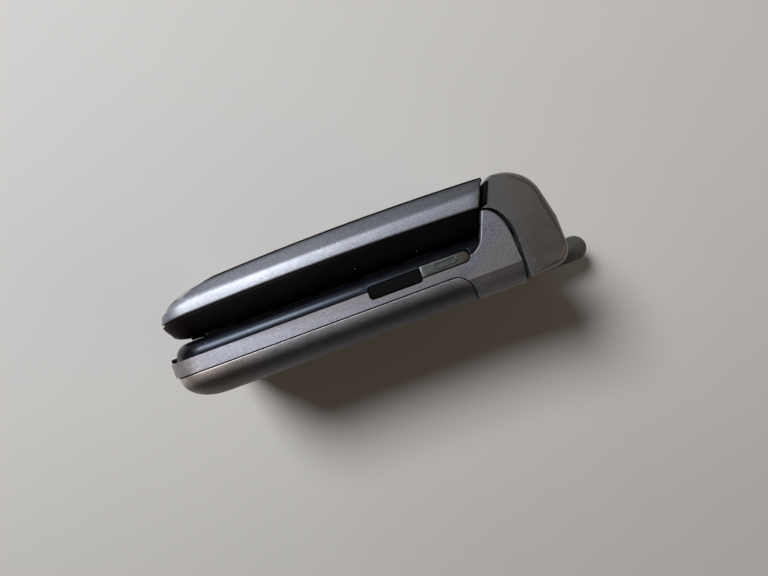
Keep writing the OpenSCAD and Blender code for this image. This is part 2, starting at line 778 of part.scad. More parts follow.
module lid_inner_cover() {
    z0 = barrel_z;
    z1 = barrel_z + barrel_len;
    color([0.08, 0.07, 0.08]) placed() difference() {
        union() {
            difference() {
                intersection() {
                    across(0, phone_w) inner_profile();
                    through(lid_y - 1, crown_y) plan(tip_x, body_len, chin_r, cap_r);
                }
                through(inner_wall_y, split_y + 1) plan(3.6, lid_len - 4.6, chin_r - 1.6, 1, lid_wall);
            }
            at_lid_screws() rod_y(inner_wall_y - 0.2, split_y - 1.2, 0, 0, boss_r);
            rod_z(z0, z1, axis_x, axis_y, barrel_r);
            across(z0, z1) lid_neck();
        }
        rod_z(z0 - 1, z0 + bush_z, axis_x, axis_y, pin_r + 0.62);
        rod_z(flex_z0 - 0.4, z1 + 1, axis_x, axis_y, bore_r);
        block(lid_len - 14, axis_x, axis_y + 1.6, axis_y + 2.4, flex_z0 - 0.3, flex_z1 + 0.3);
        through(lid_y - 1, inner_wall_y + 1)
            round_rect(display_x0 - seat, 5 - seat, display_x1 + seat, phone_w - 5 + seat, window_r + seat);
        block(lid_len - 11, lid_len - 9.6, lid_y - 1, inner_wall_y + 0.2, mid_z - 4.5, mid_z + 4.5);
        at_lid_screws() rod_y(lid_y - 1, lid_y + 0.9, 0, 0, head_r + 0.1);
        at_lid_screws() rod_y(lid_y - 1, split_y, 0, 0, screw_r + 0.15);
    }
}

plate_x0 = 10;
plate_edge = 2;

// Front-view outline of the lid plate, drawn in by d
module plate_outline(d) {
    round_rect(plate_x0 + d, plate_edge + d, lid_len + 3, phone_w - plate_edge - d, 5 - d);
}

module outer_profile() {
    polygon(concat([[tip_x, split_at(tip_x)]],
        split_line(tip_x, lid_len - 3.4, 0),
        [[end_at(split_at(lid_len - 2.8)), split_at(lid_len - 2.8)]],
        [[lid_len - 0.15, crown_at(lid_len) - plate_proud]],
        [for (i = [10:-1:0]) crown_line(2.2, lid_len - 0.8, plate_proud)[i]]));
}

outer_x1 = lid_len - 16;
outer_x0 = outer_x1 - 20;
outer_half = 12.5;
camera_x = lid_len - 9.8;
camera_r = 3.1;

module lid_outer_cover() {
    color("silver") placed() difference() {
        union() {
            difference() {
                intersection() {
                    across(0, phone_w) outer_profile();
                    through(split_y - 3, crown_y + 1) plan(tip_x, body_len, chin_r, cap_r);
                }
                intersection() {
                    across(lid_wall, phone_w - lid_wall) polygon(concat(
                        [[3.4, split_y - 2], [lid_len - 4.4, split_y - 2], [lid_len - 2.6, crown_y - 2.6]],
                        [for (i = [10:-1:0]) crown_line(5, lid_len - 3, plate_t + 1)[i]]));
                    through(split_y - 3, crown_y + 1) plan(tip_x, body_len, chin_r - lid_wall, 1, lid_wall);
                }
            }
            at_lid_screws() rod_y(split_y - 0.95, crown_at(lid_screw_x) - 1.6, 0, 0, boss_r);
        }
        at_lid_screws() rod_y(split_y - 2, crown_at(lid_screw_x) - 1.9, 0, 0, screw_r + run_fit);
        // recess for the plate, windows in its floor
        intersection() {
            across(0, phone_w) polygon(concat([[plate_x0 - 1, crown_y + 1]],
                crown_line(plate_x0 - 1, lid_len + 1, plate_t), [[lid_len + 1, crown_y + 1]]));
            through(split_y, crown_y + 1) plate_outline(0);
        }
        block(outer_x0 + 1, outer_x1 - 1, crown_y - 4, crown_y,
            mid_z - outer_half + 1, mid_z + outer_half - 1);
        rod_y(crown_y - 4, crown_y, camera_x, mid_z, camera_r - 0.3);
        hinge_relief();
    }
}

// Opening in the lid cover's end through which the neck and the flex cable pass
module hinge_relief() {
    across(barrel_z - 0.02, barrel_z + barrel_len + 0.02)
        polygon([[lid_len - 4.2, split_y - 1.5], [lid_len - 3.2, crown_y - 2.58],
            [lid_len + 3, crown_y - 2.3], [lid_len + 3, split_y - 1.5]]);
}

module plate_solid() {
    intersection() {
        across(0, phone_w) polygon(concat(crown_line(plate_x0 - 1, lid_len + 1, plate_t - 0.01),
            [for (i = [10:-1:0]) crown_line(plate_x0 - 1, lid_len + 1, 0)[i]]));
        through(split_y, crown_y + 1) intersection() {
            plate_outline(0.02);
            square([lid_len - 0.05, phone_w]);
        }
    }
}

module outer_window_outline(d) {
    round_rect(outer_x0 + d, mid_z - outer_half + d, outer_x1 - d, mid_z + outer_half - d, 2 - d);
}

module lid_plate() {
    color([0.04, 0.04, 0.05]) placed() difference() {
        plate_solid();
        through(split_y, crown_y + 1) outer_window_outline(0);
        rod_y(split_y, crown_y + 1, camera_x, mid_z, camera_r);
    }
}

module outer_window() {
    color([0.3, 0.35, 0.4, 0.6]) placed() intersection() {
        plate_solid();
        through(split_y, crown_y + 1) outer_window_outline(0.05);
    }
}

module camera_window() {
    color([0.2, 0.2, 0.25, 0.6]) placed() intersection() {
        plate_solid();
        rod_y(split_y, crown_y + 1, camera_x, mid_z, camera_r - 0.05);
    }
}

module display_window() {
    color([0.3, 0.35, 0.4, 0.6]) placed() {
        through(lid_y + 0.05, lid_y + 0.85) round_rect(display_x0, 5, display_x1, phone_w - 5, window_r);
    }
}

module main_display() {
    color([0.2, 0.22, 0.25]) placed() {
        block(display_x0 - 1, display_x1 + 1, inner_wall_y + seat, lid_board_y - seat, 4, phone_w - 4);
    }
}

module outer_display() {
    color([0.2, 0.22, 0.25]) placed() {
        block(outer_x0, outer_x1, lid_board_y + board_t, crown_y - 2.2,
            mid_z - outer_half, mid_z + outer_half);
    }
}

module lid_board() {
    color([0.05, 0.3, 0.12]) placed() {
        block(lid_screw_x + 3.4, lid_len - 5.85, lid_board_y, lid_board_y + board_t, 4, phone_w - 4);
    }
}

module camera_module() {
    color([0.15, 0.15, 0.15]) placed() {
        block(camera_x - 3.2, camera_x + 3.2, lid_board_y + board_t, lid_board_y + board_t + 1.6,
            mid_z - 3.2, mid_z + 3.2);
        rod_y(lid_board_y + board_t + 1.5, crown_at(camera_x) - plate_t - seat, camera_x, mid_z,
            camera_r - 0.6);
    }
}

module earpiece() {
    color([0.3, 0.3, 0.3]) placed() {
        through(inner_wall_y + seat, lid_board_y - seat)
            round_rect(lid_len - 13, mid_z - 7, lid_len - 7.4, mid_z + 7, 2);
    }
}

// Screws of the lid with the rubber bumpers that plug their heads
module lid_fixings() {
    color([0.1, 0.1, 0.1]) placed() at_lid_screws() {
        rod_y(lid_y - 0.45, lid_y + 0.05, 0, 0, head_r);
        rod_y(lid_y, lid_y + 0.89, 0, 0, head_r);
        rod_y(lid_y + 0.8, min(split_y + 0.8, crown_at(lid_screw_x) - 2.1), 0, 0, screw_r);
    }
}

module key_1() number_key(3, 0);
module key_2() number_key(3, 1);
module key_3() number_key(3, 2);
module key_4() number_key(2, 0);
module key_5() number_key(2, 1);
module key_6() number_key(2, 2);
module key_7() number_key(1, 0);
module key_8() number_key(1, 1);
module key_9() number_key(1, 2);
module key_star() number_key(0, 0);
module key_0() number_key(0, 1);
module key_hash() number_key(0, 2);
module soft_key_left() fringe_key(-1, 1);
module soft_key_right() fringe_key(1, 1);
module send_key() fringe_key(-1, 0);
module end_key() fringe_key(1, 0);

mid_frame();
keypad_cover();
battery_cover();
hinge_cap();
antenna_stub();
battery_latch();
connector_cover();
headset_cover();
side_key();
volume_key();
key_1();
key_2();
key_3();
key_4();
key_5();
key_6();
key_7();
key_8();
key_9();
key_star();
key_0();
key_hash();
soft_key_left();
soft_key_right();
send_key();
end_key();
nav_ring();
select_key();
keypad_mat();
main_board();
radio_shield();
card_holder();
subscriber_card();
battery_pack();
battery_contacts();
system_connector();
charger_socket();
headset_socket();
microphone();
loudspeaker();
vibration_motor();
vibration_weight();
case_screws();
hinge_pin();
hinge_cam();
hinge_bush();
hinge_cartridge();
flex_cable();
lid_inner_cover();
lid_outer_cover();
lid_plate();
outer_window();
camera_window();
display_window();
main_display();
outer_display();
lid_board();
camera_module();
earpiece();
lid_fixings();
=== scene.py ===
"""Looks of the clamshell phone: shells, keys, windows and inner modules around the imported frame."""

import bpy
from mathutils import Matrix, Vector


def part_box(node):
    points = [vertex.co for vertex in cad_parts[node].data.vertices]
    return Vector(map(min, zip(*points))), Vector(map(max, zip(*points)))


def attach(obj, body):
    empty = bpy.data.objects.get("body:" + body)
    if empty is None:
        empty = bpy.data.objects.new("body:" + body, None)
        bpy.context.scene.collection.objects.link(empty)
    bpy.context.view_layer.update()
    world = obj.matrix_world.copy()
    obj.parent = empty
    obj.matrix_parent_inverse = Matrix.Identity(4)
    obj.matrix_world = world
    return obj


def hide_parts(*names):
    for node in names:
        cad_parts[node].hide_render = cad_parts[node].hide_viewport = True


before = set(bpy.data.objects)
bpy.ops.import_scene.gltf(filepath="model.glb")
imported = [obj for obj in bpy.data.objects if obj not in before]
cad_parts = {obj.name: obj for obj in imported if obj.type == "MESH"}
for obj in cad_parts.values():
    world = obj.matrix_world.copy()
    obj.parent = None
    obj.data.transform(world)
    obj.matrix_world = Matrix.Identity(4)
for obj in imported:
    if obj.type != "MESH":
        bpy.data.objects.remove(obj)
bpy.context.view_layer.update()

import logging
import math
from dataclasses import dataclass, field
from enum import Enum
from typing import Any, Callable, Iterable, Sequence

import bmesh
import bpy
from mathutils import Matrix, Vector

logging.basicConfig(level=logging.INFO, format="%(name)s: %(message)s")
log = logging.getLogger("phone")

MM = 0.001
# The phone's own counting starts at the base's chin face and at its rear face.
CHIN_X, REAR_Y = 49.3, 10.875
WIDTH = 45.0
MID_Z = WIDTH / 2
# A printed mark is this thick, and this much of it lies under the face that carries it.
PRINT_T, PRINT_SUNK = 0.04, 0.02

Point = tuple[float, float]
Ring = list[Vector]
Colour = tuple[float, float, float]
Socket = bpy.types.NodeSocket
BMEdge = bmesh.types.BMEdge


# ---------------------------------------------------------------- finishes


class Nodes:
    """Adds nodes to one tree. Where a socket, a number or a colour may be given, a socket is linked."""

    def __init__(self, tree: bpy.types.NodeTree) -> None:
        """Keeps the tree that the nodes go into."""
        self.tree = tree

    def add(self, kind: str, **settings: Any) -> bpy.types.Node:
        """Adds one node.

        Args:
            kind: Blender's name of the node, less ShaderNode.
            settings: The node's own settings, in the order in which they are set.

        Returns:
            The node.
        """
        node = self.tree.nodes.new(f"ShaderNode{kind}")
        for key, value in settings.items():
            setattr(node, key, value)
        return node

    def feed(self, socket: Socket, value: Socket | float | Colour) -> None:
        """Links one input or sets it.

        Args:
            socket: The input.
            value: What it gets.
        """
        if isinstance(value, Socket):
            self.tree.links.new(value, socket)
        else:
            socket.default_value = (*value, 1.0) if isinstance(value, tuple) else value

    def calc(self, kind: str, *values: Socket | float, clamp: bool = False) -> Socket:
        """Works out a number.

        Args:
            kind: The Math node's operation.
            values: Its two or three numbers.
            clamp: Whether the result is kept from 0 to 1.

        Returns:
            The result.
        """
        node = self.add("Math", operation=kind, use_clamp=clamp)
        for socket, value in zip(node.inputs, values):
            self.feed(socket, value)
        return node.outputs[0]

    def ramp(self, value: Socket, low: float, high: float, first: float = 0.0, last: float = 1.0) -> Socket:
        """Stretches a value softly, and holds it beyond both ends.

        Args:
            value: The value.
            low: Where the stretch starts.
            high: Where it ends.
            first: The result at and below the start.
            last: The result at and above the end.

        Returns:
            The result.
        """
        node = self.add("MapRange", interpolation_type="SMOOTHSTEP")
        for key, number in (("From Min", low), ("From Max", high), ("To Min", first), ("To Max", last)):
            node.inputs[key].default_value = number
        self.feed(node.inputs["Value"], value)
        return node.outputs["Result"]

    def mix(self, amount: Socket | float, below: Socket | Colour, above: Socket | Colour,
            kind: str = "MIX") -> Socket:
        """Mixes two colours.

        Args:
            amount: Share of the second colour.
            below: The first colour.
            above: The second colour.
            kind: The way of mixing.

        Returns:
            The mixed colour.
        """
        node = self.add("Mix", data_type="RGBA", blend_type=kind, clamp_factor=True)
        for place, value in ((0, amount), (6, below), (7, above)):
            self.feed(node.inputs[place], value)
        return node.outputs[2]

    def noise(self, place: Socket, scale: Socket | float, detail: float, rough: float) -> Socket:
        """A noise texture's value.

        Args:
            place: The place that it is read at.
            scale: Its scale.
            detail: How many finer layers it has.
            rough: How strong the finer layers are.

        Returns:
            The value.
        """
        node = self.add("TexNoise")
        for key, value in (("Vector", place), ("Scale", scale), ("Detail", detail), ("Roughness", rough)):
            self.feed(node.inputs[key], value)
        return node.outputs["Fac"]

    def cells(self, place: Socket, scale: Socket) -> tuple[Socket, Any]:
        """A cell texture.

        Args:
            place: The place that it is read at.
            scale: Its scale.

        Returns:
            The distance from the cell's middle, and three chance values that each cell has, by colour name.
        """
        node, split = self.add("TexVoronoi"), self.add("SeparateColor")
        self.feed(node.inputs["Vector"], place)
        self.feed(node.inputs["Scale"], scale)
        self.feed(split.inputs["Color"], node.outputs["Color"])
        return node.outputs["Distance"], split.outputs


class Effect(Enum):
    """Surface effects that several finishes share, each a node group."""

    FLAKE = "metal_flake"
    MOTTLE = "broad_mottle"
    GRAIN = "moulded_grain"
    DUST = "dust_specks"
    WEAR = "edge_wear"
    SCRATCH = "fine_scratches"


class Effects:
    """Builds each shared effect once and hands it out."""

    # Share of the cells that hold no dust.
    clean_share = 0.84
    # How far noise shifts the limit of the wear, and how crisp that limit is.
    wear_shift, wear_crisp = 0.16, 22.0
    # Turn and fineness of each lay of scratches, and how much longer than wide they are.
    lays = ((0.35, 3.25), (-0.8, 2.5))
    lay_stretch = 0.06

    def __init__(self) -> None:
        """Starts with no group built."""
        self._built: dict[Effect, bpy.types.NodeTree] = {}

    def get(self, effect: Effect) -> bpy.types.NodeTree:
        """Hands out an effect, and builds it the first time.

        Args:
            effect: The effect.

        Returns:
            Its node group.
        """
        if effect not in self._built:
            self._built[effect] = getattr(self, f"_{effect.name.lower()}")(effect.value)
        return self._built[effect]

    @staticmethod
    def _start(name: str, inputs: dict[str, float], outputs: Sequence[str]) -> tuple[Nodes, Any, Any]:
        """Starts a group with a place input, number inputs and number outputs.

        Args:
            name: Name of the group.
            inputs: Number inputs and their usual values.
            outputs: Names of the number outputs.

        Returns:
            The group's nodes, the sockets that bring its inputs and the sockets that take its results.
        """
        tree = bpy.data.node_groups.new(name, "ShaderNodeTree")
        tree.interface.new_socket("Place", in_out="INPUT", socket_type="NodeSocketVector")
        for key, value in inputs.items():
            socket = tree.interface.new_socket(key, in_out="INPUT", socket_type="NodeSocketFloat")
            socket.default_value = value
        for key in outputs:
            tree.interface.new_socket(key, in_out="OUTPUT", socket_type="NodeSocketFloat")
        given, result = tree.nodes.new("NodeGroupInput"), tree.nodes.new("NodeGroupOutput")
        return Nodes(tree), given.outputs, result.inputs

    def _flake(self, name: str) -> bpy.types.NodeTree:
        """Metal flake: each tiny cell is a little lighter or darker than the paint, and stands a little off.

        Args:
            name: Name of the group.

        Returns:
            The group.
        """
        nodes, given, out = self._start(name, {"Scale": 7.0}, ("Value", "Height"))
        _, chance = nodes.cells(given["Place"], given["Scale"])
        nodes.feed(out["Value"], chance["Red"])
        nodes.feed(out["Height"], chance["Green"])
        return nodes.tree

    def _mottle(self, name: str) -> bpy.types.NodeTree:
        """Broad cloudy change of tone, from handling and uneven paint.

        Args:
            name: Name of the group.

        Returns:
            The group.
        """
        nodes, given, out = self._start(name, {"Scale": 0.15}, ("Value",))
        cloud = nodes.noise(given["Place"], given["Scale"], 4.0, 0.6)
        nodes.feed(out["Value"], nodes.ramp(cloud, 0.3, 0.7))
        return nodes.tree

    def _grain(self, name: str) -> bpy.types.NodeTree:
        """Fine moulded grain, as a height.

        Args:
            name: Name of the group.

        Returns:
            The group.
        """
        nodes, given, out = self._start(name, {"Scale": 6.0}, ("Height",))
        nodes.feed(out["Height"], nodes.noise(given["Place"], given["Scale"], 3.0, 0.6))
        return nodes.tree

    def _dust(self, name: str) -> bpy.types.NodeTree:
        """Sparse specks of dust and lint, as a mask.

        Args:
            name: Name of the group.

        Returns:
            The group.
        """
        nodes, given, out = self._start(name, {"Scale": 0.8, "Size": 0.09}, ("Mask",))
        distance, chance = nodes.cells(given["Place"], given["Scale"])
        chosen = nodes.calc("GREATER_THAN", chance["Red"], self.clean_share)
        inside = nodes.calc("LESS_THAN", distance, nodes.calc("MULTIPLY", chance["Blue"], given["Size"]))
        nodes.feed(out["Mask"], nodes.calc("MULTIPLY", chosen, inside))
        return nodes.tree

    def _wear(self, name: str) -> bpy.types.NodeTree:
        """Paint worn off along outer edges, broken up by noise, as a mask.

        Args:
            name: Name of the group.

        Returns:
            The group.
        """
        nodes, given, out = self._start(name, {"Start": 0.53, "Scale": 0.9}, ("Mask",))
        bend = nodes.add("NewGeometry").outputs["Pointiness"]
        patchy = nodes.calc("SUBTRACT", nodes.noise(given["Place"], given["Scale"], 5.0, 0.65), 0.5)
        edge = nodes.calc("ADD", bend, nodes.calc("MULTIPLY", patchy, self.wear_shift))
        over = nodes.calc("SUBTRACT", edge, given["Start"])
        nodes.feed(out["Mask"], nodes.calc("MULTIPLY", over, self.wear_crisp, clamp=True))
        return nodes.tree

    def _scratch(self, name: str) -> bpy.types.NodeTree:
        """Hairline scratches along two directions, as a mask.

        Args:
            name: Name of the group.

        Returns:
            The group.
        """
        nodes, given, out = self._start(name, {"Scale": 1.0}, ("Mask",))
        lines = []
        for turn, fineness in self.lays:
            lay = nodes.add("Mapping")
            lay.inputs["Rotation"].default_value = (turn, turn * 0.7, turn)
            lay.inputs["Scale"].default_value = (self.lay_stretch, 1.0, 1.0)
            nodes.feed(lay.inputs["Vector"], given["Place"])
            scale = nodes.calc("MULTIPLY", given["Scale"], fineness)
            lines.append(nodes.ramp(nodes.noise(lay.outputs["Vector"], scale, 1.0, 0.4), 0.68, 0.74))
        nodes.feed(out["Mask"], nodes.calc("MAXIMUM", *lines))
        return nodes.tree


EFFECTS = Effects()


@dataclass(frozen=True)
class Fade:
    """A second tone that comes in along one axis of the phone, in its own millimetres. Most fades here paint
    light and shade.
    """

    tone: Colour
    axis: int
    start: float
    end: float
    strength: float = 1.0


@dataclass(frozen=True)
class Finish:
    """One surface: its colour, its gloss, how it is worn, and the light and shade that its fades paint on.
    Sizes of patterns are in millimetres.
    """

    name: str
    tone: Colour
    metal: float = 0.0
    rough: float = 0.5
    shine: float = 0.5
    shine_tone: Colour = (1.0, 1.0, 1.0)
    coat: float = 0.0
    coat_rough: float = 0.1
    flake: float = 0.0
    flake_bump: float = 0.0
    mottle: float = 0.06
    mottle_size: float = 7.0
    grain: float = 0.0
    grain_size: float = 0.18
    dust: float = 0.0
    dust_tone: Colour = (0.6, 0.58, 0.55)
    wear: float = 0.0
    wear_tone: Colour = (0.2, 0.18, 0.16)
    wear_start: float = 0.56
    scratches: float = 0.0
    fades: tuple[Fade, ...] = ()

    def build(self) -> bpy.types.Material:
        """Makes the material, or returns the one made before."""
        made = bpy.data.materials.get(f"{self.name}_finish")
        return made if made else _MaterialMaker(self).make()


class _MaterialMaker:
    """Turns a finish into a Blender material."""

    # Cells of metal flake in a millimetre.
    flake_scale = 5.0
    # Roughness where the mottle is darkest, as a share of the finish's own, and how much it adds elsewhere.
    rough_low, rough_more = 0.92, 0.16

    def __init__(self, finish: Finish) -> None:
        """Starts an empty material with its shader and its place in the phone's millimetres.

        Args:
            finish: The finish to build.
        """
        self.finish = finish
        self.material = bpy.data.materials.new(f"{finish.name}_finish")
        self.material.use_nodes = True
        self.nodes = Nodes(self.material.node_tree)
        self.shader = self.material.node_tree.nodes["Principled BSDF"]
        coords, scale = self.nodes.add("TexCoord"), self.nodes.add("Mapping")
        scale.inputs["Scale"].default_value = (1 / MM, 1 / MM, 1 / MM)
        scale.inputs["Location"].default_value = (CHIN_X, REAR_Y, 0)
        self.nodes.feed(scale.inputs["Vector"], coords.outputs["Object"])
        self.place = scale.outputs["Vector"]

    def _group(self, effect: Effect, **values: float) -> Any:
        """Places a shared effect.

        Args:
            effect: The effect.
            values: The values that it gets here.

        Returns:
            Its outputs.
        """
        node = self.nodes.add("Group", node_tree=EFFECTS.get(effect))
        self.nodes.feed(node.inputs["Place"], self.place)
        for key, value in values.items():
            node.inputs[key].default_value = value
        return node.outputs

    def _faded(self, colour: Socket) -> Socket:
        """Brings in the finish's second tones along their axes.

        Args:
            colour: The colour without them.

        Returns:
            The colour with them.
        """
        for fade in self.finish.fades:
            split = self.nodes.add("SeparateXYZ")
            self.nodes.feed(split.inputs["Vector"], self.place)
            shares = (0.0, fade.strength) if fade.start <= fade.end else (fade.strength, 0.0)
            low, high = sorted((fade.start, fade.end))
            share = self.nodes.ramp(split.outputs[fade.axis], low, high, *shares)
            colour = self.nodes.mix(share, colour, fade.tone)
        return colour

    def make(self) -> bpy.types.Material:
        """Builds the nodes and sets the shader's own plain values.

        Returns:
            The material.
        """
        f, nodes = self.finish, self.nodes
        mottle = self._group(Effect.MOTTLE, Scale=1 / f.mottle_size)["Value"]
        darker = tuple(c * (1 - f.mottle) for c in f.tone)
        lighter = tuple(min(1.0, c * (1 + f.mottle)) for c in f.tone)
        colour = self._faded(nodes.mix(mottle, darker, lighter))
        rough = nodes.calc("MULTIPLY_ADD", mottle, f.rough * self.rough_more, f.rough * self.rough_low)
        heights: list[tuple[Socket, float]] = []
        if f.flake:
            flake = self._group(Effect.FLAKE, Scale=self.flake_scale)
            bright = nodes.calc("MULTIPLY_ADD", flake["Value"], f.flake, 1 - f.flake / 2)
            colour = nodes.mix(1.0, colour, bright, "MULTIPLY")
            heights.append((flake["Height"], f.flake_bump))
        if f.grain:
            heights.append((self._group(Effect.GRAIN, Scale=1 / f.grain_size)["Height"], f.grain))
        scratched = tuple(min(1.0, c * 1.5 + 0.05) for c in f.tone)
        for effect, amount, tone, added_rough, values in (
                (Effect.SCRATCH, f.scratches, scratched, 0.2, {}),
                (Effect.WEAR, f.wear, f.wear_tone, 0.15, {"Start": f.wear_start}),
                (Effect.DUST, f.dust, f.dust_tone, 0.3, {})):
            if amount:
                mask = self._group(effect, **values)["Mask"]
                colour = nodes.mix(nodes.calc("MULTIPLY", mask, amount), colour, tone)
                added = nodes.calc("MULTIPLY", mask, added_rough * amount)
                rough = nodes.calc("ADD", rough, added, clamp=True)
        if heights:
            self._bump(heights)
        for key, value in (("Base Color", colour), ("Roughness", rough), ("Metallic", f.metal),
                           ("Specular IOR Level", f.shine), ("Specular Tint", f.shine_tone),
                           ("Coat Weight", f.coat), ("Coat Roughness", f.coat_rough)):
            nodes.feed(self.shader.inputs[key], value)
        return self.material

    def _bump(self, heights: Sequence[tuple[Socket, float]]) -> None:
        """Feeds the summed heights to the shader's normal.

        Args:
            heights: Each pattern with its height in millimetres.
        """
        scaled = [self.nodes.calc("MULTIPLY", value, size * MM) for value, size in heights]
        total = scaled[0] if len(scaled) == 1 else self.nodes.calc("ADD", *scaled)
        bump = self.nodes.add("Bump")
        bump.inputs["Distance"].default_value = 1.0
        self.nodes.feed(bump.inputs["Height"], total)
        self.nodes.feed(self.shader.inputs["Normal"], bump.outputs["Normal"])


class Paint:
    """Every finish of the phone, named for what it covers."""

    _SILVER = {"metal": 0.95, "flake": 0.34, "flake_bump": 0.012}
    _PALE_DUST = {"dust_tone": (0.5, 0.48, 0.45)}

    # Both fades of the lid paint shade: painted shade darkens it towards the hinge end, and painted shade
    # darkens the upper facet above the crease.
    LID_SILVER = Finish(
        "lid_silver", (0.35, 0.37, 0.42), rough=0.53, mottle=0.05, wear=0.5, wear_tone=(0.72, 0.72, 0.74),
        dust=0.4, dust_tone=(0.2, 0.18, 0.16), **_SILVER,
        fades=(Fade((0.17, 0.18, 0.21), 0, 12, 64, 0.7), Fade((0.1, 0.104, 0.118), 1, 19.9, 20.9, 0.78)))
    # The band's fades paint light: painted shade darkens it towards the hinge end, and a pinkish painted
    # highlight lightens it towards the chin.
    BAND_SILVER = Finish(
        "band_silver", (0.45, 0.46, 0.53), rough=0.53, mottle=0.06, wear=0.4, wear_tone=(0.25, 0.22, 0.2),
        dust=0.55, dust_tone=(0.15, 0.13, 0.12), **_SILVER,
        fades=(Fade((0.168, 0.172, 0.205), 0, 12, 62, 0.85), Fade((0.56, 0.49, 0.48), 0, 12, 2, 0.6)))
    # The rear cover's fades paint light: a warm painted highlight towards the chin, painted shade towards the
    # hinge end, and painted shade over the lower rounding by the back face, standing in for the shadowed
    # table that it reflects.
    REAR_SILVER = Finish(
        "rear_silver", (0.45, 0.45, 0.485), rough=0.5, mottle=0.08, wear=0.4, wear_tone=(0.3, 0.25, 0.21),
        dust=0.5, dust_tone=(0.14, 0.12, 0.1), **_SILVER,
        fades=(Fade((0.8, 0.7, 0.64), 0, 24, 5, 0.8), Fade((0.25, 0.25, 0.28), 0, 20, 62, 0.7),
               Fade((0.055, 0.051, 0.052), 1, 5.1, 3.1, 0.85)))
    # The bluish tint of this finish's reflections is a painted reflection of the bluish window light.
    BLACK_GLOSS = Finish(
        "black_gloss", (0.003, 0.003, 0.005), rough=0.3, shine=0.36, shine_tone=(0.66, 0.78, 1.0), mottle=0.2,
        dust=0.5, scratches=0.12)
    PLATE_BLACK = Finish(
        "plate_black", (0.004, 0.004, 0.005), rough=0.2, shine=0.45, mottle=0.2, dust=0.5, scratches=0.12)
    # Its fade is painted light: the inner cover turns lighter and warmer towards the lid's tip, where light
    # reaches into the gap.
    LID_BLACK = Finish(
        "lid_black", (0.0015, 0.001, 0.0015), rough=0.4, shine=0.03, mottle=0.2, grain=0.004, dust=0.45,
        fades=(Fade((0.022, 0.013, 0.013), 0, 9, 2, 0.8),))
    # Its fade is a bluish painted reflection over the cap's front, beside the lid's end.
    CAP_TAUPE = Finish(
        "cap_taupe", (0.122, 0.11, 0.098), metal=0.7, rough=0.5, mottle=0.07, grain=0.006, grain_size=0.12,
        coat=0.5, coat_rough=0.24, dust=0.4, **_PALE_DUST, wear=0.45, wear_tone=(0.34, 0.33, 0.31),
        fades=(Fade((0.12, 0.125, 0.15), 0, 78, 73.5, 0.6),))
    AERIAL_GREY = Finish(
        "aerial_grey", (0.062, 0.06, 0.052), rough=0.55, mottle=0.08, grain=0.012, grain_size=0.12, dust=0.5,
        **_PALE_DUST)
    RUBBER = Finish(
        "black_rubber", (0.003, 0.003, 0.004), rough=0.6, shine=0.06, mottle=0.15, grain=0.014,
        grain_size=0.12, dust=0.6)
    PALE_RUBBER = Finish(
        "pale_rubber", (0.34, 0.335, 0.31), rough=0.55, mottle=0.1, grain=0.010, dust=0.4,
        dust_tone=(0.2, 0.18, 0.15))
    # The key's pale fade at its front end is a painted highlight on that end; its other fade makes the key
    # darker and browner towards its end by the ear.
    WORN_KEY = Finish(
        "worn_key", (0.085, 0.095, 0.097), metal=0.5, rough=0.45, flake=0.2, flake_bump=0.012, mottle=0.3,
        mottle_size=0.8, wear=0.6, wear_tone=(0.26, 0.25, 0.23), dust=0.5, dust_tone=(0.02, 0.018, 0.015),
        fades=(Fade((0.06, 0.045, 0.036), 0, 60.5, 63.5, 0.85), Fade((0.3, 0.32, 0.31), 0, 54.8, 54.3, 0.8)))
    KEY_CAP = Finish(
        "key_cap", (0.60, 0.61, 0.63), rough=0.35, mottle=0.04, coat=0.25, coat_rough=0.2, grain=0.003,
        dust=0.2, dust_tone=(0.3, 0.28, 0.26))
    KEY_INK = Finish("key_ink", (0.05, 0.06, 0.09), rough=0.45, mottle=0.2)
    CALL_GREEN = Finish("call_green", (0.03, 0.28, 0.08), rough=0.4, mottle=0.12)
    CALL_RED = Finish("call_red", (0.45, 0.03, 0.03), rough=0.4, mottle=0.12)
    RING_SILVER = Finish(
        "ring_silver", (0.55, 0.56, 0.58), metal=0.7, rough=0.3, flake=0.1, flake_bump=0.006, mottle=0.05,
        dust=0.2, dust_tone=(0.2, 0.2, 0.2))
    PANE = Finish(
        "tinted_pane", (0.02, 0.024, 0.03), rough=0.06, coat=1.0, coat_rough=0.03, mottle=0.2, dust=0.35,
        scratches=0.2)
    SCREEN = Finish(
        "dark_screen", (0.035, 0.045, 0.045), rough=0.22, mottle=0.1, grain=0.001, grain_size=0.2)
    BOARD = Finish("board_green", (0.02, 0.13, 0.05), rough=0.38, mottle=0.25, mottle_size=2.5, coat=0.3)
    TIN = Finish("tinned_sheet", (0.58, 0.58, 0.56), metal=0.95, rough=0.34, mottle=0.1, scratches=0.5)
    STEEL = Finish("plain_steel", (0.5, 0.5, 0.5), metal=1.0, rough=0.3, mottle=0.1, scratches=0.5)
    GOLD = Finish("gold_plate", (0.75, 0.52, 0.2), metal=1.0, rough=0.28, mottle=0.08, scratches=0.3)
    WRAP = Finish("battery_wrap", (0.06, 0.06, 0.075), rough=0.45, mottle=0.2, grain=0.004, dust=0.3)
    CARD = Finish(
        "card_white", (0.72, 0.72, 0.69), rough=0.4, mottle=0.04, dust=0.2, dust_tone=(0.3, 0.3, 0.3))
    DARK_PART = Finish(
        "dark_moulding", (0.016, 0.016, 0.017), rough=0.5, mottle=0.15, grain=0.008, dust=0.3)
    ACETAL = Finish("acetal", (0.6, 0.57, 0.48), rough=0.42, mottle=0.06, grain=0.004)
    FLEX = Finish("amber_film", (0.38, 0.17, 0.04), rough=0.32, mottle=0.15, coat=0.3)


# ---------------------------------------------------------------- shaping


